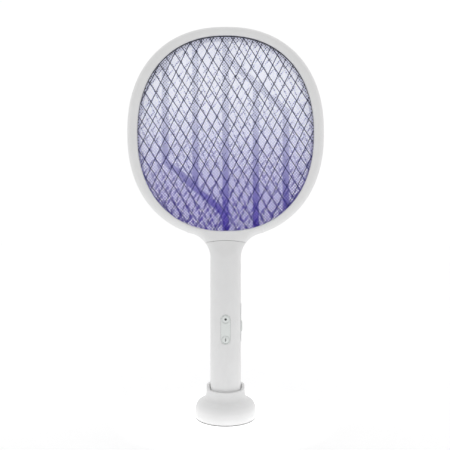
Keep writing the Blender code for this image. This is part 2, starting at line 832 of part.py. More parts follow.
def skin(name, proud, thickness, low, high):
    """A tube on the handle's axis, from which curved plates are cut."""
    outer = HANDLE_RADIUS + proud
    profile = [(outer, low), (outer, high), (outer - thickness, high), (outer - thickness, low)]
    return turned(name, profile, segments=40)


def front_pocket():
    """The opening in the front shell for the key panel."""
    outline = obround(PANEL_RADIUS + GAP, KEY_LOWER_Z, KEY_UPPER_Z)
    return plate("panel_pocket", outline, [], -HANDLE_RADIUS - 2 * MM, -HANDLE_RADIUS * 0.7)


def side_pocket(name):
    """The switch plate's opening, cut half from each half shell."""
    outline = obround(
        SWITCH_PLATE_HALF_WIDTH + GAP,
        SWITCH_Z - SWITCH_PLATE_HALF_LENGTH + SWITCH_PLATE_HALF_WIDTH,
        SWITCH_Z + SWITCH_PLATE_HALF_LENGTH - SWITCH_PLATE_HALF_WIDTH,
    )
    return prism(name, outline, HANDLE_RADIUS * 0.7, HANDLE_RADIUS + 2 * MM)


def handle_shells(parent):
    places = handle_screw_places()
    front = handle_half("handle_front_shell", -1)
    union_each(front, bosses("front_post", places, -handle_inside_y(places[0][0]) - WALL * 0.5, -SPLIT))
    bore = SCREW_SHANK_RADIUS + BORE_CLEARANCE
    subtract_each(front, bosses("front_post_bore", places, -handle_inside_y(places[0][0]), HANDLE_RADIUS, bore))
    combine(front, front_pocket(), "DIFFERENCE")
    combine(front, side_pocket("side_pocket_front"), "DIFFERENCE")
    place(front, parent, "white_abs")

    rear = handle_half("handle_rear_shell", 1)
    union_each(rear, bosses("rear_post", places, SPLIT, handle_inside_y(places[0][0]) + WALL * 0.5))
    floor = handle_screw_head_y() - SCREW_HEAD_HEIGHT - GAP
    subtract_each(rear, screw_pockets("rear_post_pocket", places, HANDLE_RADIUS + WALL, floor, -WALL))
    combine(rear, side_pocket("side_pocket_rear"), "DIFFERENCE")
    place(rear, parent, "white_abs")


def handle_inside_y(x):
    return math.sqrt((HANDLE_RADIUS - WALL) ** 2 - x * x)


def handle_screw_head_y():
    x = abs(handle_screw_places()[0][0])
    return math.sqrt(HANDLE_RADIUS**2 - (x + SCREW_HEAD_RADIUS) ** 2) - SCREW_RECESS * 0.5


def neck_coupler(parent):
    """An oval tube that joins head and handle and carries the leads."""
    top = lamp_heights()[0] - LED_BOARD_THICKNESS - GAP
    rings = []
    for k in range(24):
        angle = math.radians(15 * k)
        c, s = math.cos(angle), math.sin(angle)
        outer = (COUPLER_HALF_WIDTH * c, COUPLER_HALF_DEPTH * s)
        inner = ((COUPLER_HALF_WIDTH - WALL) * c, (COUPLER_HALF_DEPTH - WALL) * s)
        ring = [(*outer, COUPLER_BOTTOM), (*outer, top), (*inner, top), (*inner, COUPLER_BOTTOM)]
        rings.append(ring)
    return place(swept("neck_coupler", rings, closed=True), parent, "black_nylon")


def key_panel(parent):
    """The curved panel that frames the two keys."""
    cutter = plate(
        "panel_shape",
        obround(PANEL_RADIUS, KEY_LOWER_Z, KEY_UPPER_Z),
        [],
        -HANDLE_RADIUS - 2 * MM,
        -HANDLE_RADIUS * 0.7,
    )
    made = skin("key_panel", PANEL_PROUD, SKIN_DEPTH, KEY_LOWER_Z - 8 * MM, KEY_UPPER_Z + 8 * MM)
    combine(made, cutter, "INTERSECT")
    for index, z in enumerate((KEY_UPPER_Z, KEY_LOWER_Z)):
        start, end = (0.0, -HANDLE_RADIUS - 2 * MM, z), (0.0, -HANDLE_RADIUS * 0.6, z)
        combine(made, rod(f"key_hole_{index}", start, end, KEY_RADIUS + RUN), "DIFFERENCE")
    return place(made, parent, "key_plastic")


def tact_top_y():
    return BOARD_Y - BOARD_THICKNESS / 2 - GAP - 3.5 * MM


def key(name, parent, z):
    """A round key: cap, flange and stem in one turned piece, pressed towards +Y."""
    face = HANDLE_RADIUS + PANEL_PROUD + 0.15 * MM
    edge = math.sqrt(face**2 - KEY_RADIUS**2)
    under_panel = math.sqrt((HANDLE_RADIUS + PANEL_PROUD - SKIN_DEPTH) ** 2 - (KEY_RADIUS + 1.0 * MM) ** 2) - GAP
    flange = under_panel - 1.0 * MM
    stem = -tact_top_y() + KEY_TRAVEL + SPLIT
    profile = [
        (0.0, face),
        (KEY_RADIUS * 0.55, face - (face - edge) * 0.3),
        (KEY_RADIUS, edge),
        (KEY_RADIUS, under_panel),
        (KEY_RADIUS + 0.9 * MM, under_panel),
        (KEY_RADIUS + 0.9 * MM, flange),
        (1.5 * MM, flange),
        (1.5 * MM, stem),
        (0.0, stem),
    ]
    made = turned(name, profile, segments=20)
    made.data.transform(Matrix.Translation((0.0, 0.0, z)) @ Matrix.Rotation(math.radians(90), 4, "X"))
    return place(made, parent, "key_plastic", (0.0, -HANDLE_RADIUS, z))


def tact_switch(name, parent, z):
    body_front = tact_top_y() + 1.0 * MM
    back = BOARD_Y - BOARD_THICKNESS / 2 - GAP
    body = box(
        name, (-TACT_HALF_SIZE, body_front, z - TACT_HALF_SIZE), (TACT_HALF_SIZE, back, z + TACT_HALF_SIZE)
    )
    plunger = rod(f"{name}_plunger", (0.0, tact_top_y(), z), (0.0, body_front + 0.5 * MM, z), 1.7 * MM, 16)
    combine(body, plunger, "UNION")
    return place(body, parent, "component_black")


def switch_slot_centres(half_length, travel):
    return SWITCH_Z - travel / 2 - half_length, SWITCH_Z + travel / 2 + half_length


def slide_switch(parent):
    """A plate on the handle's right side with a knob that slides up, and the switch behind it."""
    plate_outline = obround(
        SWITCH_PLATE_HALF_WIDTH,
        SWITCH_Z - SWITCH_PLATE_HALF_LENGTH + SWITCH_PLATE_HALF_WIDTH,
        SWITCH_Z + SWITCH_PLATE_HALF_LENGTH - SWITCH_PLATE_HALF_WIDTH,
    )
    reach = SWITCH_PLATE_HALF_LENGTH + 2 * MM
    made = skin("switch_plate", SWITCH_PROUD, WALL, SWITCH_Z - reach, SWITCH_Z + reach)
    shape = prism("switch_plate_shape", plate_outline, HANDLE_RADIUS * 0.7, HANDLE_RADIUS + 2 * MM)
    combine(made, shape, "INTERSECT")
    low, high = switch_slot_centres(KNOB_HALF_LENGTH, SWITCH_TRAVEL)
    slot = box(
        "switch_slot",
        (HANDLE_RADIUS * 0.6, -KNOB_HALF_WIDTH - RUN, low - RUN),
        (HANDLE_RADIUS + 2 * MM, KNOB_HALF_WIDTH + RUN, high + RUN),
    )
    combine(made, slot, "DIFFERENCE")
    place(made, parent, "switch_grey")

    body_outer = HANDLE_RADIUS - WALL - 2.2 * MM
    rest = SWITCH_Z - SWITCH_TRAVEL / 2
    knob = bevelled_box(
        "switch_knob",
        (body_outer + GAP, -KNOB_HALF_WIDTH, rest - KNOB_HALF_LENGTH),
        (HANDLE_RADIUS + KNOB_PROUD, KNOB_HALF_WIDTH, rest + KNOB_HALF_LENGTH),
        0.5 * MM,
    )
    place(knob, parent, "key_plastic", (HANDLE_RADIUS, 0.0, rest))

    body = box(
        "switch_body", (body_outer - 4.0 * MM, -3.5 * MM, low - 1 * MM), (body_outer, 3.5 * MM, high + 1 * MM)
    )
    place(body, parent, "component_black")


def lead(name, parent, route, material_name):
    """An insulated lead along a smooth curve through the given points."""
    points = [Vector(point) for point in route]
    points = [points[0] * 2 - points[1], *points, points[-1] * 2 - points[-2]]
    smooth = []
    for k in range(1, len(points) - 2):
        a, b, c, d = points[k - 1 : k + 3]
        for step in range(4):
            t = step / 4
            lower = (c - a) * t
            middle = (a * 2 - b * 5 + c * 4 - d) * t * t
            upper = (b * 3 - a - c * 3 + d) * t**3
            smooth.append((b * 2 + lower + middle + upper) / 2)
    smooth.append(points[-2])
    curve = bpy.data.curves.new(name, "CURVE")
    curve.dimensions = "3D"
    curve.bevel_depth = LEAD_RADIUS
    curve.bevel_resolution = 1
    curve.use_fill_caps = True
    spline = curve.splines.new("POLY")
    spline.points.add(len(smooth) - 1)
    for place_at, point in zip(spline.points, smooth):
        place_at.co = (*(point - parent.location), 1.0)
    curve.materials.append(finish(material_name))
    made = linked(name, curve)
    made.parent = parent
    return made


def electronics(parent):
    half = BOARD_THICKNESS / 2
    board = box(
        "main_circuit_board",
        (-BOARD_HALF_WIDTH, BOARD_Y - half, BOARD_BOTTOM),
        (BOARD_HALF_WIDTH, BOARD_Y + half, BOARD_TOP),
    )
    place(board, parent, "circuit_board")
    behind = BOARD_Y + half + GAP
    size = TRANSFORMER_HALF_SIZE
    bottom = SWITCH_Z + SWITCH_PLATE_HALF_LENGTH - 6 * MM
    transformer = bevelled_box(
        "step_up_transformer", (-size, behind, bottom), (size, behind + 12 * MM, bottom + 2 * size), 0.8 * MM
    )
    place(transformer, parent, "component_black")
    start = bottom + 2 * size + 3 * MM
    middle = behind + CAPACITOR_RADIUS
    capacitor = rod(
        "storage_capacitor", (0.0, middle, start), (0.0, middle, start + CAPACITOR_LENGTH), CAPACITOR_RADIUS
    )
    place(capacitor, parent, "battery_wrap")
    top = BATTERY_BOTTOM + BATTERY_LENGTH
    battery = rod("battery_cell", (0.0, 0.0, BATTERY_BOTTOM), (0.0, 0.0, top), BATTERY_RADIUS, 28)
    place(battery, parent, "battery_wrap")

    above = BOARD_TOP + GAP
    top = OPENING_CENTRE_Z - OPENING_HALF_HEIGHT - BORDER_WIDTH - 2 * GAP
    inside = COUPLER_BOTTOM + 3 * MM
    out = SEAM_Z
    hv_x = 6 * MM
    grid_route = [
        (-hv_x, BOARD_Y, above),
        (-hv_x, BOARD_Y + 2 * MM, above + 6 * MM),
        (-hv_x, GRID_Y, inside),
        (-hv_x, GRID_Y, out),
        (-hv_x, GRID_Y, top),
    ]
    lead("grid_lead", parent, grid_route, "red_lead")
    net_route = [
        (hv_x, BOARD_Y, above),
        (hv_x, BOARD_Y + 2 * MM, above + 6 * MM),
        (hv_x, GRID_Y - LEAD_RADIUS, inside),
        (hv_x, GRID_Y - LEAD_RADIUS, out),
        (hv_x, GRID_Y - LEAD_RADIUS, top - 3 * MM),
        (hv_x, FRONT_NET_Y + MM, top),
    ]
    lead("net_lead", parent, net_route, "dark_lead")
    under_lamp = lamp_heights()[0] - LED_BOARD_THICKNESS - GAP
    lamp_route = [
        (0.0, BOARD_Y, above),
        (0.0, BOARD_Y + 3 * MM, above + 6 * MM),
        (0.0, 2.0 * MM, inside),
        (0.0, 2.0 * MM, under_lamp),
    ]
    lead("lamp_lead", parent, lamp_route, "dark_lead")


def end_cap(parent):
    radius = HANDLE_RADIUS - WALL - GAP
    made = turned(
        "handle_end_cap", [(0.0, CAP_BOTTOM), (radius, CAP_BOTTOM), (radius, CAP_TOP), (0.0, CAP_TOP)]
    )
    for side, label in ((-1, "left"), (1, "right")):
        x = side * PIN_SPACING / 2
        low, high = (x, 0.0, CAP_BOTTOM - MM), (x, 0.0, CAP_TOP + MM)
        combine(made, rod(f"contact_hole_{label}", low, high, CONTACT_RADIUS + GAP), "DIFFERENCE")
        contact = rod(f"charge_contact_{label}", (x, 0.0, CAP_BOTTOM), (x, 0.0, CAP_TOP), CONTACT_RADIUS)
        place(contact, parent, "contact_brass")
    return place(made, parent, "white_abs")


# ---------------------------------------------------------------- dock


def rim_lift(angle, height):
    """The collar's rim stands higher behind the handle than in front of it."""
    share = min(max((math.sin(angle) + 0.4) / 0.5, 0.0), 1.0)
    share = share * share * (3 - 2 * share)
    rise = min(max((height - COLLAR_FOOT_Z) / (DOCK_RIM_Z - COLLAR_FOOT_Z), 0.0), 1.0)
    return DOCK_BACK_RISE * share * rise


def dock_profile():
    """Closed section of the dock's shell: socket, rim, collar, bell, skirt and the hollow underneath."""
    rim = SOCKET_RADIUS + DOCK_WALL * 0.5
    collar = SOCKET_RADIUS + DOCK_WALL + 0.8 * MM
    bell = DOCK_RADIUS
    inner = DOCK_RADIUS - DOCK_WALL
    tube = SOCKET_RADIUS + DOCK_WALL
    floor_low = SOCKET_FLOOR - DOCK_WALL
    foot = COLLAR_FOOT_Z
    return [
        (0.0, SOCKET_FLOOR),
        (SOCKET_RADIUS, SOCKET_FLOOR),
        (SOCKET_RADIUS, DOCK_RIM_Z),
        (rim - 0.6 * MM, DOCK_RIM_Z + 0.8 * MM),
        (rim + 0.8 * MM, DOCK_RIM_Z + 0.8 * MM),
        (collar, DOCK_RIM_Z - 0.4 * MM),
        (collar + 0.9 * MM, foot + 4.0 * MM),
        (collar + 2.0 * MM, foot + 0.6 * MM),
        (collar + 4.2 * MM, foot - 1.0 * MM),
        (bell - 7.2 * MM, foot - 1.7 * MM),
        (bell - 3.0 * MM, foot - 5.0 * MM),
        (bell - 0.9 * MM, foot - 9.4 * MM),
        (bell - 0.2 * MM, foot - 13.4 * MM),
        (bell, foot - 16.5 * MM),
        (bell - 0.2 * MM, foot - 19.4 * MM),
        (bell - 1.0 * MM, DOCK_SKIRT_Z),
        (inner - 0.6 * MM, DOCK_SKIRT_Z),
        (inner - 0.4 * MM, foot - 15.0 * MM),
        (inner - 2.6 * MM, foot - 9.6 * MM),
        (inner - 6.6 * MM, foot - 7.2 * MM),
        (tube, foot - 6.6 * MM),
        (tube, floor_low),
        (0.0, floor_low),
    ]


def dock_screw_places():
    places = []
    for degrees in DOCK_SCREW_ANGLES:
        angle = math.radians(degrees)
        places.append((DOCK_SCREW_RADIUS * math.cos(angle), DOCK_SCREW_RADIUS * math.sin(angle)))
    return places


def dock_body(parent):
    made = turned("dock_body", dock_profile(), segments=32, lift=rim_lift)
    for index, (x, y) in enumerate(dock_screw_places()):
        low, high = DOCK_PLATE_TOP + GAP, COLLAR_FOOT_Z - 6.6 * MM
        combine(made, rod(f"dock_post_{index}", (x, y, low), (x, y, high), BOSS_RADIUS, 16), "UNION")
    for index, (x, y) in enumerate(dock_screw_places()):
        low, high = DOCK_PLATE_TOP - MM, DOCK_PLATE_TOP + 8.5 * MM
        bore = SCREW_SHANK_RADIUS + BORE_CLEARANCE
        combine(made, rod(f"dock_bore_{index}", (x, y, low), (x, y, high), bore, 12), "DIFFERENCE")
    for side in (-1, 1):
        x = side * PIN_SPACING / 2
        low, high = (x, 0.0, SOCKET_FLOOR - 2 * DOCK_WALL), (x, 0.0, SOCKET_FLOOR + DOCK_WALL)
        combine(made, rod(f"pin_hole_{side + 1}", low, high, PIN_RADIUS + RUN, 16), "DIFFERENCE")
    usb_low = DOCK_BOARD_TOP
    inlet = box(
        "usb_inlet",
        (-USB_HALF_WIDTH - GAP, DOCK_RADIUS - 4 * MM, usb_low),
        (USB_HALF_WIDTH + GAP, DOCK_RADIUS + 2 * MM, usb_low + USB_HEIGHT + 2 * GAP),
    )
    combine(made, inlet, "DIFFERENCE")
    return place(made, parent, "white_abs")


def dock_inside(parent):
    plate_bottom = PAD_THICKNESS + GAP
    radius = DOCK_RADIUS - DOCK_WALL - 0.6 * MM - GAP
    profile = [(0.0, plate_bottom), (radius, plate_bottom), (radius, DOCK_PLATE_TOP), (0.0, DOCK_PLATE_TOP)]
    base = turned("dock_bottom_plate", profile, segments=32)
    head_top = plate_bottom + 0.2 * MM + SCREW_HEAD_HEIGHT * 0.75
    for index, (x, y) in enumerate(dock_screw_places()):
        start = (x, y, plate_bottom - MM)
        head = rod(f"plate_recess_{index}", start, (x, y, head_top + 0.1 * MM), SCREW_HEAD_RADIUS + GAP)
        hole = rod(f"plate_hole_{index}", start, (x, y, DOCK_PLATE_TOP + MM), SCREW_SHANK_RADIUS + GAP, 12)
        subtract_each(base, [head, hole])
        screw_profile = [
            (0.0, plate_bottom + 0.2 * MM),
            (SCREW_HEAD_RADIUS, plate_bottom + 0.2 * MM),
            (SCREW_HEAD_RADIUS, head_top),
            (SCREW_SHANK_RADIUS, head_top),
            (SCREW_SHANK_RADIUS, DOCK_PLATE_TOP + 7 * MM),
            (0.0, DOCK_PLATE_TOP + 8 * MM),
        ]
        made = turned(f"dock_screw_{index + 1}", screw_profile, segments=12, centre=(x, y))
        place(made, parent, "screw_steel", (x, y, plate_bottom))
    place(base, parent, "white_abs")

    pad = [(0.0, 0.0), (PAD_RADIUS, 0.0), (PAD_RADIUS, PAD_THICKNESS), (0.0, PAD_THICKNESS)]
    place(turned("dock_foot_pad", pad, segments=32), parent, "foot_rubber")

    low, high = DOCK_PLATE_TOP + GAP, DOCK_PLATE_TOP + GAP + WEIGHT_HEIGHT
    ring = [
        (WEIGHT_INNER_RADIUS, low),
        (WEIGHT_OUTER_RADIUS, low),
        (WEIGHT_OUTER_RADIUS, high),
        (WEIGHT_INNER_RADIUS, high),
    ]
    weight = turned("dock_weight", ring, segments=20, start_deg=120.0, sweep_deg=300.0)
    place(weight, parent, "ballast_iron")

    board = box(
        "dock_circuit_board",
        (-8.0 * MM, -8.0 * MM, DOCK_PLATE_TOP + GAP),
        (8.0 * MM, DOCK_RADIUS - 5.0 * MM, DOCK_BOARD_TOP),
    )
    place(board, parent, "circuit_board")
    usb_low = DOCK_BOARD_TOP + GAP
    end = DOCK_RADIUS - 1.0 * MM
    usb = bevelled_box(
        "dock_usb_socket",
        (-USB_HALF_WIDTH, end - USB_LENGTH, usb_low),
        (USB_HALF_WIDTH, end, usb_low + USB_HEIGHT),
        1.0 * MM,
    )
    opening = box(
        "usb_opening",
        (-USB_HALF_WIDTH + 0.6 * MM, end - USB_LENGTH * 0.7, usb_low + 0.6 * MM),
        (USB_HALF_WIDTH - 0.6 * MM, end + MM, usb_low + USB_HEIGHT - 0.6 * MM),
    )
    combine(usb, opening, "DIFFERENCE")
    place(usb, parent, "screw_steel")


def dock_pin(name, parent, x):
    """A spring pin: its flange stays under the socket's floor, with its travel free above the board."""
    low = DOCK_BOARD_TOP + GAP + PIN_TRAVEL
    shoulder = SOCKET_FLOOR - DOCK_WALL - GAP
    tip = SOCKET_FLOOR + PIN_PROUD
    profile = [
        (0.0, low),
        (PIN_FLANGE_RADIUS, low),
        (PIN_FLANGE_RADIUS, shoulder),
        (PIN_RADIUS, shoulder),
        (PIN_RADIUS, tip - PIN_RADIUS / 3),
        (PIN_RADIUS * 2 / 3, tip),
        (0.0, tip),
    ]
    made = turned(name, profile, segments=16, centre=(x, 0.0))
    place(made, parent, "contact_brass", (x, 0.0, tip))


# ---------------------------------------------------------------- assembly


def racket():
    parent = group("racket", HANDLE_BOTTOM)
    front_head_shell(parent, coupler_hole())
    rear_head_shell(parent, bpy.data.objects["coupler_hole"])
    net("front_guard_net", parent, FRONT_NET_Y, FRONT_NET_TURN_DEG, FRONT_NET_NODE, NET_STEP, "net_steel")
    net("hv_grid", parent, GRID_Y, 0.0, (0.0, OPENING_CENTRE_Z), GRID_STEP, "grid_steel")
    net("rear_guard_net", parent, REAR_NET_Y, REAR_NET_TURN_DEG, REAR_NET_NODE, NET_STEP, "net_steel")
    front_net_spacer(parent)
    rear_net_spacer(parent)
    lamp_window(parent)
    lamp(parent)
    head_face = HEAD_HALF_DEPTH - SCREW_RECESS
    for index, (x, z) in enumerate(head_screw_places()):
        screw(f"head_screw_{index + 1}", parent, x, z, head_face, 16 * MM)
    handle_shells(parent)
    for index, (x, z) in enumerate(handle_screw_places()):
        screw(f"handle_screw_{index + 1}", parent, x, z, handle_screw_head_y(), 12 * MM)
    neck_coupler(parent)
    key_panel(parent)
    key("mode_key", parent, KEY_UPPER_Z)
    key("zap_key", parent, KEY_LOWER_Z)
    tact_switch("mode_tact_switch", parent, KEY_UPPER_Z)
    tact_switch("zap_tact_switch", parent, KEY_LOWER_Z)
    slide_switch(parent)
    electronics(parent)
    end_cap(parent)


def dock():
    parent = group("dock", 0.0)
    dock_body(parent)
    dock_inside(parent)
    dock_pin("dock_pin_left", parent, -PIN_SPACING / 2)
    dock_pin("dock_pin_right", parent, PIN_SPACING / 2)


def main():
    clear_scene()
    racket()
    dock()


main()
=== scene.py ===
"""Electric fly swatter standing in its charging dock: the looks of every piece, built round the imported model.

Blender 4.5 script, metres, +Z up. Each operator makes one piece or one group of like pieces.
"""

import json
import math

import bmesh
import bpy
from mathutils import Matrix, Vector


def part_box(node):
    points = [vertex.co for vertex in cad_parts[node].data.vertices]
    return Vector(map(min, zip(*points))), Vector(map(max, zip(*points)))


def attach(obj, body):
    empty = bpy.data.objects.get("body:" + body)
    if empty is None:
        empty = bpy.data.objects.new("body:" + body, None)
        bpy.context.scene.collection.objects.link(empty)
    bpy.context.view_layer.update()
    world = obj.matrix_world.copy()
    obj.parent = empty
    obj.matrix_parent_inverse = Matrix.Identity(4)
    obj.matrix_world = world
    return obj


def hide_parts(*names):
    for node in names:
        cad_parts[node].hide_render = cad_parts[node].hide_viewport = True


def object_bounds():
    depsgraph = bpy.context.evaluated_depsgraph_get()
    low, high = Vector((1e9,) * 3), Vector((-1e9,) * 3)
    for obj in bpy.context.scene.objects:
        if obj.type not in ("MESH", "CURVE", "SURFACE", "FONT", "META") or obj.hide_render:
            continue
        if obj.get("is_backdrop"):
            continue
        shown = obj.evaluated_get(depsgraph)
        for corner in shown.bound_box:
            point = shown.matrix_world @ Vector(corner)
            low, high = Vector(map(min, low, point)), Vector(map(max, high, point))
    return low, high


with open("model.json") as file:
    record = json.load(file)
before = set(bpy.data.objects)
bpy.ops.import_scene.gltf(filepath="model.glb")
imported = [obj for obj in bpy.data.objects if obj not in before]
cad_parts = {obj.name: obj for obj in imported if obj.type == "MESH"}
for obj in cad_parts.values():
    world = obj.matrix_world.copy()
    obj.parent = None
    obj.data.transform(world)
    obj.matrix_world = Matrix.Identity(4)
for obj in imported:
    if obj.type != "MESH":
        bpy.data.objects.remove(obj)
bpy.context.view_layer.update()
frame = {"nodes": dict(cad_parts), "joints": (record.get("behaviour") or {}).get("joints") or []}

bl_info = {
    "name": "Electric fly swatter",
    "version": (1, 0, 0),
    "blender": (4, 5, 0),
    "location": "3D View > Sidebar > Fly swatter",
    "description": "Builds an electric fly swatter with its charging dock",
    "category": "Object",
}

MM = 0.001
GAP = 0.3 * MM  # between pieces that would touch
SPLIT = 0.15 * MM  # from the split plane to each half shell
SHARP = math.radians(32.0)  # edges sharper than this stay sharp when shaded
MERGE = 0.004 * MM  # points closer than this are one
LAMP_BELOW = 10.0 * MM  # from the bottom of the grid down to where the painted lamp light is brightest
LAMP_REACH = 0.8  # how far up the grid the painted lamp light reaches, as a share of its height
ROUND_END_SHARE = 0.94  # depth of a rib's round end, as a share of the rib's
WALL_REACH = 10.0 * MM  # how far the wall that ends the strands stands before and behind a net
KNOT_SHAPE = (1.0, 0.75, 1.35)  # a weld is flatter from front to back and longer upwards
OUTLINE_STEPS = 240  # points on the outline of a net


def linear(hexcode):
    """A colour as the shader takes it, from an sRGB hex value."""
    parts = [int(hexcode[k : k + 2], 16) / 255 for k in (1, 3, 5)]
    return tuple(p / 12.92 if p <= 0.04045 else ((p + 0.055) / 1.055) ** 2.4 for p in parts)


# ---------------------------------------------------------------- sizes and colours a user may change


def length(name, description, millimetres):
    return bpy.props.FloatProperty(
        name=name, description=description, default=millimetres * MM, min=0.0, unit="LENGTH", precision=5
    )


def degrees(name, description, value):
    return bpy.props.FloatProperty(
        name=name, description=description, default=math.radians(value), subtype="ANGLE"
    )


def colour(name, description, hexcode):
    return bpy.props.FloatVectorProperty(
        name=name, description=description, default=linear(hexcode), size=3, min=0.0, max=1.0, subtype="COLOR"
    )


class SwatterHeadSizes(bpy.types.PropertyGroup):
    head_half_height: length("Half height", "Half the height of the head's oval", 121.0)
    rim_at_side: length("Rim at the side", "Width of the rim beside the opening", 13.0)
    rim_at_end: length("Rim at the end", "Width of the rim above and below the opening", 10.3)
    opening_drop: length("Opening drop", "How far the opening's centre sits below the head's", 2.0)
    oval_power: bpy.props.FloatProperty(
        name="Squareness", description="2 is an ellipse, and more is squarer", default=2.25, min=2.0, max=6.0
    )
    rounding: length("Outer rounding", "How far the rim's outer edge is rounded", 8.0)
    lip_radius: length("Lip radius", "Rounding of the opening's edge", 1.6)
    wall: length("Wall", "Thickness of the mouldings", 2.0)
    parting_edge: length("Parting edge", "Chamfer along the line where two halves meet", 0.25)
    flare_radius: length("Neck fillet", "Radius of the neck's fillet", 29.0)
    seam_radius: length("Seam radius", "Radius of the arched seam between head and handle", 101.0)
    neck_squareness: bpy.props.FloatProperty(
        name="Neck squareness", description="How much squarer the neck is at the seam", default=0.5, min=0.0
    )
    rib_pitch: length("Rib pitch", "Distance between the upright ribs", 35.2)
    rib_width: length("Rib width", "Width of a rib", 7.5)
    rib_depth: length("Rib depth", "Depth of a rib, front to back", 4.2)
    rib_corner: length("Rib corner", "Rounding of a rib's edges", 0.9)
    rib_setback: length("Rib setback", "How far the ribs sit inside the rear face", 0.8)
    diagonal_shallower: length("Diagonal setback", "How far the diagonals' faces lie behind the uprights'", 0.25)
    diagonal_high: length("Diagonal start", "Where a diagonal meets the middle rib, from the centre", 92.0)
    diagonal_low: length("Diagonal end", "Where a diagonal meets the outer rib, from the centre", 29.0)


class SwatterNetSizes(bpy.types.PropertyGroup):
    pitch: length("Guard net pitch", "Distance between the strands of a guard net", 10.6)
    strand: length("Guard net strand", "Thickness of a strand of a guard net", 0.95)
    rear_strand: length("Rear net strand", "Thickness of a strand of the rear guard net", 1.25)
    knot: length("Guard net knot", "Radius of the weld where two strands cross", 0.85)
    tilt: degrees("Strand tilt", "From a strand's normal to the horizontal", 29.7)
    front_turn: degrees("Front net turn", "How far the front net is turned in its frame", 4.1)
    front_shift: length("Front net shift", "Sideways place of the front net's middle crossing", 3.9)
    rear_turn: degrees("Rear net turn", "How far the rear net is turned in its frame", -5.5)
    grid_pitch: length("Fine grid pitch", "Distance between the wires of the high-voltage grid", 2.4)
    grid_wire: length("Fine grid wire", "Thickness of the wires of the high-voltage grid", 1.08)
    grid_tilt: degrees("Fine grid tilt", "From a grid wire's normal to the horizontal", 45.0)
    border: length("Border", "Width of the border that the shells hold", 3.2)


class SwatterHandleSizes(bpy.types.PropertyGroup):
    key_upper: length("Upper key", "Height of the mode key", 114.2)
    key_lower: length("Lower key", "Height of the zap key", 91.3)
    key_radius: length("Key radius", "Radius of a key", 4.2)
    panel_radius: length("Panel radius", "Half the width of the key panel", 5.3)
    key_clearance: length("Key clearance", "Gap round a key", 0.22)
    mark_size: length("Mark size", "Width of the dot on the mode key", 2.6)
    knob_ribs: bpy.props.IntProperty(
        name="Grip ribs", description="Number of ribs on the slide knob", default=7, min=2, max=12
    )


class SwatterDockSizes(bpy.types.PropertyGroup):
    socket_clearance: length("Socket clearance", "Gap between the handle and its socket", 0.6)
    wall: length("Dock wall", "Thickness of the dock's wall", 2.2)
    rim_height: length("Rim height", "Height of the collar's rim in front", 31.8)
    back_rise: length("Back rise", "How much higher the rim is behind the handle", 4.4)
    foot_height: length("Collar foot", "Height at which the collar runs into the foot", 22.0)
    pad_edge: length("Pad edge", "Rounding of the rubber pad's edge", 0.3)


class SwatterColours(bpy.types.PropertyGroup):
    shell: colour("Shell", "Satin white ABS of the mouldings", "#E2E2E2")
    key: colour("Keys", "Matt ABS of the key panel and keys", "#DFE3E1")
    # The rib colours are painted light: painted shade at the top, where the nets shade the ribs, and painted violet
    # lamp light at the bottom.
    ribs_painted_shade_top: colour("Ribs, top", "The ribs away from the lamp", "#C2C2C6")
    ribs_painted_lamp_light_bottom: colour("Ribs, bottom", "The ribs close to the lamp", "#E0D9EC")
    net: colour("Guard nets", "Blackened steel of the guard nets", "#34364A")
    # The nets' and the grid's colours next to the lamp are painted violet lamp light.
    net_painted_lamp_light: colour("Guard nets, bottom", "The guard nets close to the lamp", "#3A3480")
    grid_high: colour("Fine grid, top", "The fine grid away from the lamp", "#DFE1F2")
    grid_painted_lamp_light: colour("Fine grid, bottom", "The fine grid close to the lamp", "#3E22A6")
    mark: colour("Key marks", "Ink of the marks on the keys", "#323335")
    floor: colour("Floor", "The studio floor", "#F4F4F4")


class SwatterSettings(bpy.types.PropertyGroup):
    head: bpy.props.PointerProperty(name="Head", description="Sizes of the head", type=SwatterHeadSizes)
    nets: bpy.props.PointerProperty(name="Nets", description="Sizes of the nets", type=SwatterNetSizes)
    handle: bpy.props.PointerProperty(name="Handle", description="Sizes of the controls", type=SwatterHandleSizes)
    dock: bpy.props.PointerProperty(name="Dock", description="Sizes of the dock", type=SwatterDockSizes)
    colours: bpy.props.PointerProperty(name="Colours", description="Colours of the finishes", type=SwatterColours)


# ---------------------------------------------------------------- mesh helpers


def linked(name, mesh):
    made = bpy.data.objects.new(name, mesh)
    bpy.context.scene.collection.objects.link(made)
    return made


def shaded(mesh):
    """Shades smooth except over sharp edges."""
    mesh.shade_smooth()
    mesh.set_sharp_from_angle(angle=SHARP)
    return mesh


def smoothed(mesh):
    """Merges doubles, turns the faces outwards and shades smooth except over sharp edges."""
    bm = bmesh.new()
    bm.from_mesh(mesh)
    bmesh.ops.remove_doubles(bm, verts=bm.verts, dist=MERGE)
    bmesh.ops.dissolve_degenerate(bm, edges=bm.edges, dist=MERGE / 2)
    bmesh.ops.delete(bm, geom=[edge for edge in bm.edges if not edge.link_faces], context="EDGES")
    bmesh.ops.recalc_face_normals(bm, faces=bm.faces)
    bm.to_mesh(mesh)
    bm.free()
    return shaded(mesh)


def from_points(name, points, faces):
    mesh = bpy.data.meshes.new(name)
    mesh.from_pydata([tuple(point) for point in points], [], faces)
    return linked(name, smoothed(mesh))


def swept(name, rings, closed=False):
    """Skins a row of loops. The ends of an open row are closed with strips across the loop."""
    count = len(rings[0])
    faces = []
    for index in range(len(rings) if closed else len(rings) - 1):
        first = index * count
        second = (index + 1) % len(rings) * count
        for k in range(count):
            after = (k + 1) % count
            faces.append((first + k, first + after, second + after, second + k))
    if not closed:
        for first in (0, (len(rings) - 1) * count):
            for k in range(count // 2 - 1):
                faces.append((first + k, first + k + 1, first + count - 2 - k, first + count - 1 - k))
    return from_points(name, [point for ring in rings for point in ring], faces)


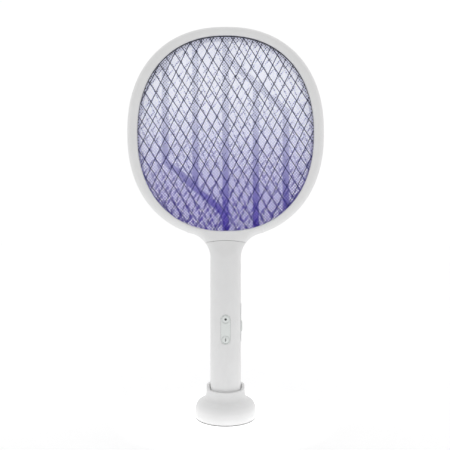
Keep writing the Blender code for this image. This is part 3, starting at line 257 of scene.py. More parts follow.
def turned(name, profile, segments=96, lift=None):
    """Turns a closed profile of (radius, height) round the Z axis. lift(angle, height) raises its points."""
    rings = []
    for index in range(segments):
        angle = math.tau * index / segments
        c, s = math.cos(angle), math.sin(angle)
        rings.append([(radius * c, radius * s, z + (lift(angle, z) if lift else 0.0)) for radius, z in profile])
    return swept(name, rings, closed=True)


def arc(centre, radius, start, end, steps):
    """Points of an arc from one angle to another, in degrees."""
    points = []
    for k in range(steps + 1):
        angle = math.radians(start + (end - start) * k / steps)
        points.append((centre[0] + radius * math.cos(angle), centre[1] + radius * math.sin(angle)))
    return points


def obround(radius, low, high, steps=20):
    """An upright outline with round ends about two heights, as (across, height)."""
    return arc((0.0, high), radius, 0, 180, steps) + arc((0.0, low), radius, 180, 360, steps)


def prism(name, outline, place):
    """A solid between two copies of a convex outline. place(a, b, end) gives the points of each end."""
    count = len(outline)
    points = [place(a, b, end) for end in (0, 1) for a, b in outline]
    faces = [tuple(range(count)), tuple(range(2 * count - 1, count - 1, -1))]
    faces += [(k, (k + 1) % count, (k + 1) % count + count, k + count) for k in range(count)]
    return from_points(name, points, faces)


def cylinder(name, start, end, radius, segments=32):
    start, end = Vector(start), Vector(end)
    turn = (end - start).to_track_quat("Z", "Y").to_matrix().to_4x4()
    mesh = bpy.data.meshes.new(name)
    bm = bmesh.new()
    bmesh.ops.create_cone(
        bm,
        cap_ends=True,
        segments=segments,
        radius1=radius,
        radius2=radius,
        depth=(end - start).length,
        matrix=Matrix.Translation((start + end) / 2) @ turn,
    )
    bm.to_mesh(mesh)
    bm.free()
    return linked(name, smoothed(mesh))


def block(name, low, high, bevel=0.0, segments=3):
    """A box between two corners with rounded edges."""
    low, high = Vector(low), Vector(high)
    mesh = bpy.data.meshes.new(name)
    bm = bmesh.new()
    matrix = Matrix.Translation((low + high) / 2) @ Matrix.Diagonal((*(high - low), 1.0))
    bmesh.ops.create_cube(bm, size=1.0, matrix=matrix)
    if bevel:
        bmesh.ops.bevel(bm, geom=bm.edges[:], offset=bevel, segments=segments, profile=0.5, affect="EDGES")
    bm.to_mesh(mesh)
    bm.free()
    return linked(name, smoothed(mesh))


def plain(name, source):
    """The evaluated mesh of an object with modifiers, as plain data."""
    graph = bpy.context.evaluated_depsgraph_get()
    made = bpy.data.meshes.new_from_object(source.evaluated_get(graph))
    source.modifiers.clear()
    if not made.polygons:
        raise RuntimeError(f"{name}: the modifiers left no mesh")
    return shaded(made)


def cut(piece, cutters):
    """Takes each cutter away from a piece, and removes the cutters."""
    for cutter in cutters:
        modifier = piece.modifiers.new(cutter.name, "BOOLEAN")
        modifier.operation = "DIFFERENCE"
        modifier.object = cutter
    piece.data = plain(piece.name, piece)
    piece.data.name = piece.name
    for cutter in cutters:
        bpy.data.objects.remove(cutter, do_unlink=True)
    return piece


def fitted(piece, body, slot, *nodes, finish=None):
    """Gives a finished piece its body and its slot's finish, and hides the model nodes it stands for."""
    piece.data.materials.clear()
    piece.data.materials.append(finishes()[finish or slot])
    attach(piece, body)
    if nodes:
        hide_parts(*nodes)
    return piece


# ---------------------------------------------------------------- node helpers


def feed(tree, node, inputs):
    """Sets a node's inputs to values, or links them to sockets."""
    for key, value in inputs.items():
        if isinstance(value, bpy.types.NodeSocket):
            tree.links.new(value, node.inputs[key])
        else:
            node.inputs[key].default_value = value


def add(tree, kind, inputs=None, **settings):
    """Adds a node, sets its properties and sets or links its inputs."""
    node = tree.nodes.new(kind)
    for name, value in settings.items():
        setattr(node, name, value)
    feed(tree, node, inputs or {})
    return node


def reckon(tree, operation, *values):
    """The result of a Math node."""
    return add(tree, "ShaderNodeMath", dict(enumerate(values)), operation=operation).outputs[0]


def reckon_vector(tree, operation, *values, **named):
    """The result of a Vector Math node."""
    inputs = {**dict(enumerate(values)), **named}
    return add(tree, "ShaderNodeVectorMath", inputs, operation=operation).outputs["Vector"]


def remap(tree, value, old, new, interpolation="LINEAR"):
    """Carries a value from one range to another."""
    limits = dict(zip(("From Min", "From Max", "To Min", "To Max"), (*old, *new)))
    inputs = {"Value": value, **limits}
    return add(tree, "ShaderNodeMapRange", inputs, interpolation_type=interpolation).outputs["Result"]


def joined(tree, parts):
    """Several geometries as one."""
    whole = add(tree, "GeometryNodeJoinGeometry")
    for part in parts:
        tree.links.new(part, whole.inputs[0])
    return whole.outputs[0]


def new_tree(name, sockets):
    """A geometry node tree with named inputs, given as (name, type, default)."""
    tree = bpy.data.node_groups.new(name, "GeometryNodeTree")
    for label, kind, default in sockets:
        socket = tree.interface.new_socket(label, in_out="INPUT", socket_type=f"NodeSocket{kind}")
        if default is not None:
            socket.default_value = default
    tree.interface.new_socket("Geometry", in_out="OUTPUT", socket_type="NodeSocketGeometry")
    return tree, tree.nodes.new("NodeGroupInput").outputs


def close_tree(tree, geometry, material):
    """Ends a tree in Realize Instances and Set Material."""
    real = add(tree, "GeometryNodeRealizeInstances", {0: geometry}).outputs[0]
    painted = add(tree, "GeometryNodeSetMaterial", {"Geometry": real, "Material": material}).outputs[0]
    add(tree, "NodeGroupOutput", {"Geometry": painted})
    return tree


def grown(name, base, tree, values):
    """Runs a node tree on a base mesh and returns the result as a plain mesh object."""
    source = linked(name + "_base", base)
    modifier = source.modifiers.new("nodes", "NODES")
    modifier.node_group = tree
    names = {item.name: item.identifier for item in tree.interface.items_tree if item.in_out == "INPUT"}
    for label, value in values.items():
        modifier[names[label]] = value
    made = plain(name, source)
    bpy.data.objects.remove(source, do_unlink=True)
    return linked(name, made)


def loop_mesh(name, points):
    """A closed loop of edges through the points."""
    mesh = bpy.data.meshes.new(name)
    mesh.from_pydata(points, [(k, (k + 1) % len(points)) for k in range(len(points))], [])
    return mesh


def edges_mesh(name, pairs):
    """A mesh of separate edges, each between two points."""
    mesh = bpy.data.meshes.new(name)
    points = [tuple(point) for pair in pairs for point in pair]
    mesh.from_pydata(points, [(k, k + 1) for k in range(0, len(points), 2)], [])
    return mesh


# ---------------------------------------------------------------- outlines of head, neck and handle


def settings():
    return bpy.context.scene.fly_swatter


def bisect(test, low, high):
    """The value between low, where the test holds, and high, where it doesn't."""
    for _ in range(40):
        middle = (low + high) / 2
        if test(middle):
            low = middle
        else:
            high = middle
    return low


class Outlines:
    """The shapes that head, neck and handle share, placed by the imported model."""

    def __init__(self):
        self.sizes = settings().head
        head_low, head_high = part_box("front_head_shell")
        handle_low, handle_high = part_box("handle_front_shell")
        self.power = self.sizes.oval_power
        self.half_width = head_high.x
        self.half_depth = -head_low.y
        self.half_height = self.sizes.head_half_height
        self.centre_z = head_high.z - self.half_height
        self.opening_z = self.centre_z - self.sizes.opening_drop
        self.opening_half_width = self.half_width - self.sizes.rim_at_side
        self.opening_half_height = self.half_height - self.sizes.rim_at_end
        self.handle_radius = -handle_low.y
        self.handle_bottom = handle_low.z
        self.seam_z = handle_high.z + GAP
        self.flare_radius = self.sizes.flare_radius
        self.flare_z = self.flare_height()
        self.seam_half_width = bisect(lambda x: self.neck_half_width(self.seam_height(x)) > x, 0.0, self.half_width)

    def oval(self, angle, half_width, half_height, centre_z):
        c, s = math.cos(angle), math.sin(angle)
        reach = (abs(c / half_width) ** self.power + abs(s / half_height) ** self.power) ** (-1 / self.power)
        return Vector((reach * c, centre_z + reach * s))

    def opening(self, angle, outward=0.0):
        width, height = self.opening_half_width + outward, self.opening_half_height + outward
        return self.oval(angle, width, height, self.opening_z)

    def flare_height(self):
        """The height at which the neck's fillet is tangent to the head's outline."""
        samples = []
        for k in range(240):
            angle = math.radians(-90.0 + k * 0.25)
            samples.append(self.oval(angle, self.half_width, self.half_height, self.centre_z))

        def clear(height):
            centre = Vector((self.handle_radius + self.flare_radius, height))
            return min((point - centre).length for point in samples) > self.flare_radius

        return bisect(clear, self.centre_z - self.half_height * 1.5, self.centre_z)

    def neck_half_width(self, z):
        rise = min(max(z - self.flare_z, 0.0), self.flare_radius)
        return self.handle_radius + self.flare_radius - math.sqrt(self.flare_radius**2 - rise**2)

    def seam_height(self, x):
        return self.seam_z - x * x / (2 * self.sizes.seam_radius)

    def flare_share(self, z):
        share = min(max((z - self.flare_z) / (self.seam_z - self.flare_z), 0.0), 1.0)
        return share * share * (3 - 2 * share)

    def neck_half_depth(self, z):
        return self.handle_radius + (self.half_depth - self.handle_radius) * self.flare_share(z)

    def neck_power(self, z):
        return 2.0 + self.sizes.neck_squareness * self.flare_share(z)

    def seam_half_depth(self, x):
        """Half the thickness of the neck where the seam crosses x."""
        z = self.seam_height(x)
        power = self.neck_power(z)
        share = min(abs(x) / self.neck_half_width(z), 1.0)
        return self.neck_half_depth(z) * (1 - share**power) ** (1 / power)

    def in_head(self, x, z):
        """True inside the head's outline with its neck, above the seam."""
        rise = abs(z - self.centre_z) / self.half_height
        in_oval = (abs(x) / self.half_width) ** self.power + rise**self.power < 1
        in_neck = z < self.flare_z + self.flare_radius and abs(x) < self.neck_half_width(z)
        return (in_oval or in_neck) and z > self.seam_height(x)

    def rays(self):
        """Points on the opening and on the head's outline all the way round, denser near the neck."""
        corner = Vector((self.seam_half_width, self.seam_height(self.seam_half_width) - self.opening_z))
        corner_turn = 90 + math.degrees(math.atan2(corner.y, corner.x))
        angles = {k * 1.5 for k in range(240)}
        angles |= {side * k * 0.5 % 360 for side in (-1, 1) for k in range(72)}
        angles |= {side * turn % 360 for side in (-1, 1) for turn in (corner_turn, corner_turn + 0.04)}
        rays = []
        for turn in sorted(angles):
            angle = math.radians(turn - 90)
            inner = self.opening(angle)
            direction = (inner - Vector((0.0, self.opening_z))).normalized()

            def inside(reach):
                return self.in_head(inner.x + direction.x * reach, inner.y + direction.y * reach)

            reach = bisect(inside, 0.0, self.half_height)
            rays.append((inner, inner + direction * reach, direction))
        return rays

    def half_section(self, z, inward, steps):
        """Half of the handle's section at a height, from +X round the open side to -X."""
        power = self.neck_power(z)
        half_width = self.neck_half_width(z) - inward
        half_depth = self.neck_half_depth(z) - inward
        points = []
        for k in range(steps + 1):
            angle = math.pi * k / steps
            c, s = math.cos(angle), max(math.sin(angle), 0.0)
            x = half_width * math.copysign(abs(c) ** (2 / power), c)
            points.append((x, half_depth * s ** (2 / power)))
        return points

    def section_at_share(self, share, inward, steps, below_seam=GAP):
        """The half section on the way from the foot of the flare, 0, to the seam's arch, 1."""
        points = []
        for k in range(steps + 1):
            z = self.flare_z
            for _ in range(12):
                x, y = self.half_section(z, inward, steps)[k]
                z = self.flare_z + (self.seam_height(x) - below_seam - self.flare_z) * share
            points.append((x, y, z))
        return points


# ---------------------------------------------------------------- finishes


def new_material(name):
    material = bpy.data.materials.new(name)
    material.use_nodes = True
    tree = material.node_tree
    place = add(tree, "ShaderNodeTexCoord").outputs["Object"]
    return material, tree, tree.nodes["Principled BSDF"], place


def noise(tree, place, size_mm, detail=2.0):
    """Soft noise whose features have a size in millimetres."""
    inputs = {"Vector": place, "Scale": 1000.0 / size_mm, "Detail": detail}
    return add(tree, "ShaderNodeTexNoise", inputs).outputs["Fac"]


def relief(tree, height, depth_mm):
    """A bump of a depth in millimetres."""
    return add(tree, "ShaderNodeBump", {"Height": height, "Distance": depth_mm * MM}).outputs["Normal"]


def mottled(tree, place, base, patch_mm, share):
    """A colour, given or from a socket, that drifts a little lighter and darker in soft patches."""
    drift = remap(tree, noise(tree, place, patch_mm, 3.0), (0.3, 0.7), (1 - share, 1 + share))
    return reckon_vector(tree, "SCALE", base, Scale=drift)


def moulded(name, base, roughness, grain_mm, grain_depth_mm, ior=1.53, patch_mm=18.0, share=0.015):
    """Injection-moulded plastic: the tool's fine texture in the bump, and flow patches in colour and gloss."""
    material, tree, shader, place = new_material(name)
    gloss = noise(tree, place, patch_mm * 0.4)
    inputs = {
        "Base Color": mottled(tree, place, base, patch_mm, share),
        "Roughness": remap(tree, gloss, (0.0, 1.0), (roughness - 0.05, roughness + 0.05)),
        "Normal": relief(tree, noise(tree, place, grain_mm), grain_depth_mm),
        "IOR": ior,
    }
    feed(tree, shader, inputs)
    material.diffuse_color = (*base, 1.0)
    return material


def drawn_metal(name, base, roughness, streak_mm):
    """Metal with the fine unevenness that drawing, stamping or casting leaves in its gloss."""
    material, tree, shader, place = new_material(name)
    streaks = noise(tree, place, streak_mm, 4.0)
    inputs = {
        "Metallic": 1.0,
        "Base Color": mottled(tree, place, base, streak_mm * 6, 0.06),
        "Roughness": remap(tree, streaks, (0.0, 1.0), (roughness - 0.1, roughness + 0.12)),
        "Normal": relief(tree, streaks, 0.01),
    }
    feed(tree, shader, inputs)
    material.diffuse_color = (*base, 1.0)
    return material


def painted_lamp_light_share(tree, place):
    """0 at the bottom of the opening, next to the lamp, and 1 where its light has faded, near the top: the mask by
    which lamp light is painted into colours.
    """
    low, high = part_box("hv_grid")
    z = add(tree, "ShaderNodeSeparateXYZ", {"Vector": place}).outputs["Z"]
    lit = (low.z - LAMP_BELOW, low.z + (high.z - low.z) * LAMP_REACH)
    return remap(tree, z, lit, (0.0, 1.0), "SMOOTHSTEP")


def ramp(tree, share, low_colour, high_colour):
    """A colour that runs from one to another."""
    blend = add(tree, "ShaderNodeValToRGB", {"Fac": share})
    for stop, paint in zip(blend.color_ramp.elements, (low_colour, high_colour)):
        stop.color = (*paint, 1.0)
    return blend.outputs["Color"]


def lamp_lit_metal(name, low_colour, high_colour, roughness, metallic, glow):
    """Thin metal with the lamp's violet light painted into its colour. glow is the share of it that is given off as a
    painted glow, though the metal is no lamp.
    """
    material, tree, shader, place = new_material(name)
    # Painted light: the colour runs by height from painted violet lamp light at the bottom, and the emission is a
    # painted glow.
    tint = ramp(tree, painted_lamp_light_share(tree, place), low_colour, high_colour)
    shade = mottled(tree, place, tint, 3.0, 0.1)
    inputs = {
        "Base Color": shade,
        "Emission Color": shade,
        "Emission Strength": glow,
        "Metallic": metallic,
        "Roughness": remap(tree, noise(tree, place, 0.8), (0.0, 1.0), (roughness - 0.08, roughness + 0.08)),
    }
    feed(tree, shader, inputs)
    material.diffuse_color = (*high_colour, 1.0)
    return material


def finishes():
    """Every finish of the product, made once."""
    made = getattr(finishes, "made", None)
    if made:
        return made
    paint = settings().colours
    made = {}
    # Moulded ABS: satin, a fine spark-eroded texture that only softens the highlights.
    made["white_abs"] = moulded("moulded_abs_satin_white", tuple(paint.shell), 0.42, 0.5, 0.012)
    # The same ABS with a finer, matter texture, a little cooler.
    made["key_plastic"] = moulded("moulded_abs_matt_keys", tuple(paint.key), 0.55, 0.3, 0.01)
    made["switch_grey"] = moulded("moulded_abs_matt_switch", linear("#D3D5D5"), 0.55, 0.3, 0.01)
    # Glass-filled nylon: black, dull, slightly rough.
    made["black_nylon"] = moulded("moulded_nylon_black", linear("#23232A"), 0.62, 0.4, 0.02, 1.5, 6.0, 0.05)
    made["component_black"] = moulded("moulded_phenolic_black", linear("#1B1B1D"), 0.5, 0.25, 0.01)
    # PVC: soft, slightly waxy.
    made["red_lead"] = moulded("extruded_pvc_red", linear("#B3221D"), 0.45, 0.6, 0.005)
    made["dark_lead"] = moulded("extruded_pvc_black", linear("#1D1D1F"), 0.45, 0.6, 0.005)
    made["battery_wrap"] = moulded("shrink_sleeve_blue", linear("#2B5486"), 0.35, 2.0, 0.02)
    # Rubber: dark, no gloss, dusty patches.
    made["foot_rubber"] = moulded("moulded_rubber_black", linear("#29292B"), 0.85, 0.7, 0.05, 1.52, 8.0, 0.08)
    # Solder mask over copper: green with a slight relief.
    made["circuit_board"] = moulded("solder_mask_green", linear("#1F6B3A"), 0.4, 1.2, 0.03, 1.5, 2.5, 0.12)
    made["screw_steel"] = drawn_metal("zinc_plated_steel", linear("#C3C5C8"), 0.32, 0.4)
    made["contact_brass"] = drawn_metal("gold_plated_brass", linear("#E2BE6E"), 0.25, 0.5)
    made["ballast_iron"] = drawn_metal("cast_iron_plain", linear("#6B6A6C"), 0.65, 1.5)
    # Blackened steel wire: dark with blue-grey glints, with violet lamp light painted in next to the lamp and a faint
    # painted glow.
    made["net_steel"] = lamp_lit_metal("blackened_steel_wire", tuple(paint.net_painted_lamp_light), tuple(paint.net), 0.5, 0.3, 0.1)
    # Bright steel wire: the colour of the light that falls on it is painted in, violet next to the lamp, with a painted
    # glow.
    made["grid_steel"] = lamp_lit_metal("bright_steel_grid", tuple(paint.grid_painted_lamp_light), tuple(paint.grid_high), 0.4, 0.2, 0.3)
    # The ribs' satin ABS, with painted lamp light and painted shade in its colour.
    made["lit_abs"] = lamp_lit_abs(tuple(paint.ribs_painted_lamp_light_bottom), tuple(paint.ribs_painted_shade_top))
    made["clear_window"] = lamp_acrylic()
    made["led_package"] = lamp_emitter()
    made["mark_ink"] = moulded("pad_print_grey", tuple(paint.mark), 0.5, 0.3, 0.004)
    finishes.made = made
    return made


def lamp_lit_abs(low_colour, high_colour):
    """The satin ABS of the ribs, with painted violet lamp light from below and painted shade towards the top in its
    colour.
    """
    material, tree, shader, place = new_material("moulded_abs_lamp_lit")
    # Painted light: the colour runs by height from painted lamp light at the bottom to painted shade at the top.
    tint = ramp(tree, painted_lamp_light_share(tree, place), low_colour, high_colour)
    inputs = {
        "Base Color": mottled(tree, place, tint, 14.0, 0.02),
        "Normal": relief(tree, noise(tree, place, 0.5), 0.012),
        "Roughness": 0.45,
        "IOR": 1.53,
    }
    feed(tree, shader, inputs)
    return material


def lamp_acrylic():
    """Polished acrylic over the lamp: pale violet, glossy, with a painted glow for the lamp's light from beneath."""
    material, tree, shader, place = new_material("polished_acrylic_violet")
    inputs = {
        "Base Color": ramp(tree, noise(tree, place, 6.0, 1.0), linear("#C9C2F5"), linear("#E6E2FF")),
        "Roughness": 0.12,
        "IOR": 1.49,
        # Painted light: the window gives off the lamp's light as a painted glow, though it is no lamp.
        "Emission Color": (*linear("#A99BFF"), 1.0),
        "Emission Strength": 0.35,
    }
    feed(tree, shader, inputs)
    return material


def lamp_emitter():
    """Ultraviolet LED under its clear resin: a bright violet face."""
    material, tree, shader, place = new_material("led_resin_violet")
    tint = ramp(tree, noise(tree, place, 1.5), linear("#8A70FF"), linear("#C8BAFF"))
    feed(tree, shader, {"Base Color": tint, "Emission Color": tint, "Emission Strength": 3.0, "Roughness": 0.2})
    return material


# ---------------------------------------------------------------- racket head


def head_section(lines, inner, outer, direction, foot):
    """The channel section of a head shell, as (point in the head's plane, depth)."""
    sizes = lines.sizes
    at_seam = outer.y < lines.seam_height(0) + GAP and abs(outer.x) < lines.seam_half_width
    edge = lines.seam_half_depth(outer.x) if at_seam else 0.0
    inner_edge = max(edge - sizes.wall, 0.0)
    full, cavity = lines.half_depth, lines.half_depth - sizes.wall
    lip, rounding, chamfer = sizes.lip_radius, sizes.rounding, sizes.parting_edge
    section = [(inner, foot)]
    for back, turn in arc((lip, full - lip), lip, 180, 90, 6):
        section.append((inner + direction * back, turn))
    for k in range(13):
        turn = math.radians(90 * (1 - k / 12))
        depth = edge + (full - edge) * math.sin(turn)
        section.append((outer - direction * rounding * (1 - math.cos(turn)), max(depth, SPLIT + chamfer)))
    section.append((outer - direction * chamfer, SPLIT))
    section.append((outer - direction * sizes.wall, SPLIT))
    for k in range(5):
        turn = math.radians(90 * k / 4)
        back = sizes.wall + (rounding - sizes.wall) * (1 - math.cos(turn))
        section.append((outer - direction * back, inner_edge + (cavity - inner_edge) * math.sin(turn)))
    section.append((inner + direction * sizes.wall, cavity))
    section.append((inner + direction * sizes.wall, foot))
    return section


def head_shell(name, lines, side, foot):
    """A half shell round the opening. side is -1 in front and +1 behind."""
    rings = []
    for inner, outer, direction in lines.rays():
        section = head_section(lines, inner, outer, direction, foot)
        rings.append([(p.x, side * max(depth, SPLIT), p.y) for p, depth in section])
    return swept(name, rings, closed=True)


def screw_axis(node):
    """Centre of a screw's head and its outer face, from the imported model."""
    low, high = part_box(node)
    return (low.x + high.x) / 2, high.y, (low.z + high.z) / 2


def counterbores(nodes, far_y):
    """Cutters for the wells in which the screws' heads sit."""
    cutters = []
    for node in nodes:
        x, head_y, z = screw_axis(node)
        low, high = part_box(node)
        radius = (high.x - low.x) / 2 + 0.2 * MM
        cutters.append(cylinder(f"well_{node}", (x, head_y - 1.4 * MM, z), (x, far_y, z), radius))
    return cutters


def rib_tree():
    """Bars with rounded edges along the edges of the base mesh, and round ends."""
    sockets = [(name, "Float", 0.0) for name in ("Width", "Depth", "Corner")]
    tree, inputs = new_tree("Rib bars", [("Lines", "Geometry", None), *sockets, ("Material", "Material", None)])
    lines, width, depth = inputs["Lines"], inputs["Width"], inputs["Depth"]
    curve = add(tree, "GeometryNodeMeshToCurve", {"Mesh": lines}).outputs["Curve"]
    towards_rear = {"Curve": curve, "Normal": (0.0, 1.0, 0.0)}
    facing = add(tree, "GeometryNodeSetCurveNormal", towards_rear, mode="FREE").outputs["Curve"]
    profile = add(tree, "GeometryNodeCurvePrimitiveQuadrilateral", {"Width": depth, "Height": width}).outputs["Curve"]
    corners = {"Curve": profile, "Radius": inputs["Corner"], "Count": 4}
    rounded = add(tree, "GeometryNodeFilletCurve", corners, mode="POLY").outputs["Curve"]
    sweep = {"Curve": facing, "Profile Curve": rounded, "Fill Caps": True}
    bars = add(tree, "GeometryNodeCurveToMesh", sweep).outputs["Mesh"]
    radius = reckon(tree, "MULTIPLY", width, 0.5)
    thickness = reckon(tree, "MULTIPLY", depth, ROUND_END_SHARE)
    disc = add(tree, "GeometryNodeMeshCylinder", {"Vertices": 32, "Radius": radius, "Depth": thickness}).outputs["Mesh"]
    lying = add(tree, "GeometryNodeTransform", {"Geometry": disc, "Rotation": (math.pi / 2, 0.0, 0.0)}).outputs[0]
    ends = add(tree, "GeometryNodeInstanceOnPoints", {"Points": lines, "Instance": lying}).outputs[0]
    return close_tree(tree, joined(tree, (bars, ends)), inputs["Material"])


def rib_lines(lines):
    """The two ends of each of the five uprights, and of the two diagonals on which the outer uprights end."""
    sizes = lines.sizes
    slope = (sizes.diagonal_high - sizes.diagonal_low) / (2 * sizes.rib_pitch)
    uprights, diagonals = [], []

    def edge_height(x, side):
        reach = max(abs(x) - sizes.rib_width / 2, 0.0)
        share = (1 - (reach / lines.opening_half_width) ** lines.power) ** (1 / lines.power)
        return lines.opening_z + side * (lines.opening_half_height * share + sizes.wall / 2)

    for k in (-2, -1, 0, 1, 2):
        x = k * sizes.rib_pitch
        top, bottom = edge_height(x, 1), edge_height(x, -1)
        if k < 0:
            bottom = lines.opening_z - sizes.diagonal_high - slope * x
        elif k > 0:
            top = lines.opening_z + sizes.diagonal_high - slope * x
        uprights.append(((x, bottom), (x, top)))
    for side in (-1, 1):
        near = (0.0, lines.opening_z + side * sizes.diagonal_high)
        diagonals.append((near, (side * 2 * sizes.rib_pitch, lines.opening_z + side * sizes.diagonal_low)))
    return uprights, diagonals


def make_ribs(lines):
    sizes = lines.sizes
    middle = lines.half_depth - sizes.rib_setback - sizes.rib_depth / 2
    tree = rib_tree()
    shallower = (0.0, sizes.diagonal_shallower)
    for name, pairs, less in zip(("upright_ribs", "diagonal_ribs"), rib_lines(lines), shallower):
        placed = [((a[0], middle, a[1]), (b[0], middle, b[1])) for a, b in pairs]
        values = {"Width": sizes.rib_width, "Depth": sizes.rib_depth - 2 * less, "Corner": sizes.rib_corner}
        values["Material"] = finishes()["lit_abs"]
        ribs = grown(name, edges_mesh(name + "_lines", placed), tree, values)
        fitted(ribs, "racket", "white_abs", "rear_head_shell", finish="lit_abs")


# ---------------------------------------------------------------- electrode nets


def net_tree():
    """A net of straight strands in two directions, cut off at the base mesh's outline, with a border."""
    numbers = [(name, "Float", 0.0) for name in ("Pitch", "Strand", "Knot", "Tilt", "Turn", "Border")]
    places = [("Outline", "Geometry", None), ("Centre", "Vector", (0.0, 0.0, 0.0))]
    sockets = [*places, *numbers, ("Strands", "Int", 20), ("Material", "Material", None)]
    tree, inputs = new_tree("Diamond net", sockets)
    pitch, count, centre, outline = (inputs[name] for name in ("Pitch", "Strands", "Centre", "Outline"))
    span = 2 * (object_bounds()[1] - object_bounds()[0]).length
    lowered = add(tree, "GeometryNodeSetPosition", {"Geometry": outline, "Offset": (0.0, -WALL_REACH, 0.0)})
    backwards = add(tree, "ShaderNodeCombineXYZ", {"Y": 1.0}).outputs[0]
    raised = {"Mesh": lowered.outputs[0], "Offset": backwards, "Offset Scale": 2 * WALL_REACH}
    wall = add(tree, "GeometryNodeExtrudeMesh", raised, mode="EDGES").outputs["Mesh"]
    index = add(tree, "GeometryNodeInputIndex").outputs[0]
    middle = reckon(tree, "MULTIPLY", reckon(tree, "SUBTRACT", count, 1.0), 0.5)

    def vector(x, z):
        return add(tree, "ShaderNodeCombineXYZ", {"X": x, "Z": z}).outputs[0]

    def cast(start, towards):
        rays = {"Target Geometry": wall, "Source Position": start, "Ray Direction": towards, "Ray Length": span}
        hit = add(tree, "GeometryNodeRaycast", rays)
        return hit.outputs["Is Hit"], hit.outputs["Hit Position"]

    def from_middle(number):
        return reckon(tree, "MULTIPLY", reckon(tree, "SUBTRACT", number, middle), pitch)

    def wire(curve, thickness, resolution, capped):
        radius = reckon(tree, "MULTIPLY", thickness, 0.5)
        circle = {"Resolution": resolution, "Radius": radius}
        profile = add(tree, "GeometryNodeCurvePrimitiveCircle", circle).outputs["Curve"]
        swept_wire = {"Curve": curve, "Profile Curve": profile, "Fill Caps": capped}
        return add(tree, "GeometryNodeCurveToMesh", swept_wire).outputs["Mesh"]

    strands, turns = [], []
    for sign in (1.0, -1.0):
        angle = reckon(tree, "ADD", reckon(tree, "MULTIPLY", inputs["Tilt"], sign), inputs["Turn"])
        c, s = reckon(tree, "COSINE", angle), reckon(tree, "SINE", angle)
        turns.append((c, s))
        along = vector(reckon(tree, "MULTIPLY", s, -1.0), c)
        aside = reckon_vector(tree, "SCALE", vector(c, s), Scale=from_middle(index))
        foot = reckon_vector(tree, "ADD", centre, aside)
        reach = reckon_vector(tree, "SCALE", along, Scale=span / 2)
        hit, start = cast(reckon_vector(tree, "SUBTRACT", foot, reach), along)
        _, end = cast(reckon_vector(tree, "ADD", foot, reach), reckon_vector(tree, "SCALE", along, Scale=-1.0))
        row = add(tree, "GeometryNodeMeshLine", {"Count": count}, mode="OFFSET").outputs[0]
        placed = add(tree, "GeometryNodeSetPosition", {"Geometry": row, "Position": start}).outputs[0]
        points = add(tree, "GeometryNodeMeshToPoints", {"Mesh": placed}).outputs[0]
        dots = add(tree, "GeometryNodePointsToVertices", {"Points": points}).outputs[0]
        drawn = {"Mesh": dots, "Selection": hit, "Offset": reckon_vector(tree, "SUBTRACT", end, start)}
        bars = add(tree, "GeometryNodeExtrudeMesh", {**drawn, "Offset Scale": 1.0}, mode="VERTICES")
        strands.append(bars.outputs["Mesh"])
    wires = add(tree, "GeometryNodeMeshToCurve", {"Mesh": joined(tree, strands)}).outputs["Curve"]
    net = wire(wires, inputs["Strand"], 8, True)
    rim = add(tree, "GeometryNodeMeshToCurve", {"Mesh": outline}).outputs["Curve"]
    border = wire(rim, inputs["Border"], 12, False)

    def cross(a, b, c, d):
        return reckon(tree, "SUBTRACT", reckon(tree, "MULTIPLY", a, b), reckon(tree, "MULTIPLY", c, d))

    (c1, s1), (c2, s2) = turns
    grid = add(tree, "GeometryNodeMeshGrid", {"Vertices X": count, "Vertices Y": count}).outputs["Mesh"]
    column = from_middle(reckon(tree, "MODULO", index, count))
    line = from_middle(reckon(tree, "FLOOR", reckon(tree, "DIVIDE", reckon(tree, "ADD", index, 0.5), count)))
    spread = cross(c1, s2, s1, c2)
    x = reckon(tree, "DIVIDE", cross(column, s2, s1, line), spread)
    z = reckon(tree, "DIVIDE", cross(c1, line, column, c2), spread)
    crossing = reckon_vector(tree, "ADD", centre, vector(x, z))
    laid = add(tree, "GeometryNodeSetPosition", {"Geometry": grid, "Position": crossing}).outputs[0]
    here = add(tree, "GeometryNodeInputPosition").outputs[0]
    (right, _), (left, _) = cast(here, (1.0, 0.0, 0.0)), cast(here, (-1.0, 0.0, 0.0))
    inside = add(tree, "FunctionNodeBooleanMath", {0: right, 1: left}, operation="AND").outputs[0]
    wanted = add(tree, "FunctionNodeCompare", {"A": inputs["Knot"], "B": 1e-6}, operation="GREATER_THAN").outputs[0]
    chosen = add(tree, "FunctionNodeBooleanMath", {0: inside, 1: wanted}, operation="AND").outputs[0]
    bead = add(tree, "GeometryNodeMeshUVSphere", {"Segments": 8, "Rings": 5, "Radius": inputs["Knot"]})
    flattened = add(tree, "GeometryNodeTransform", {"Geometry": bead.outputs["Mesh"], "Scale": KNOT_SHAPE}).outputs[0]
    beads = {"Points": laid, "Selection": chosen, "Instance": flattened}
    knots = add(tree, "GeometryNodeInstanceOnPoints", beads).outputs["Instances"]
    return close_tree(tree, joined(tree, (net, border, knots)), inputs["Material"])


def make_net(name, node, finish, lines, centre, values):
    """One net in its plane, from the shared tree. centre is measured from the opening's."""
    low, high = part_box(node)
    level, border = (low.y + high.y) / 2, settings().nets.border
    points = []
    for k in range(OUTLINE_STEPS):
        point = lines.opening(math.tau * k / OUTLINE_STEPS, border / 2)
        points.append((point.x, level, point.y))
    values = {
        "Centre": (centre[0], level, lines.opening_z + centre[1]),
        "Strands": 2 * math.ceil(lines.opening_half_height * 1.1 / values["Pitch"]) + 1,
        "Border": min(border, high.y - low.y),
        "Material": finishes()[finish],
        **values,
    }
    tree = bpy.data.node_groups.get("Diamond net") or net_tree()
    fitted(grown(name, loop_mesh(name + "_outline", points), tree, values), "racket", finish, node)


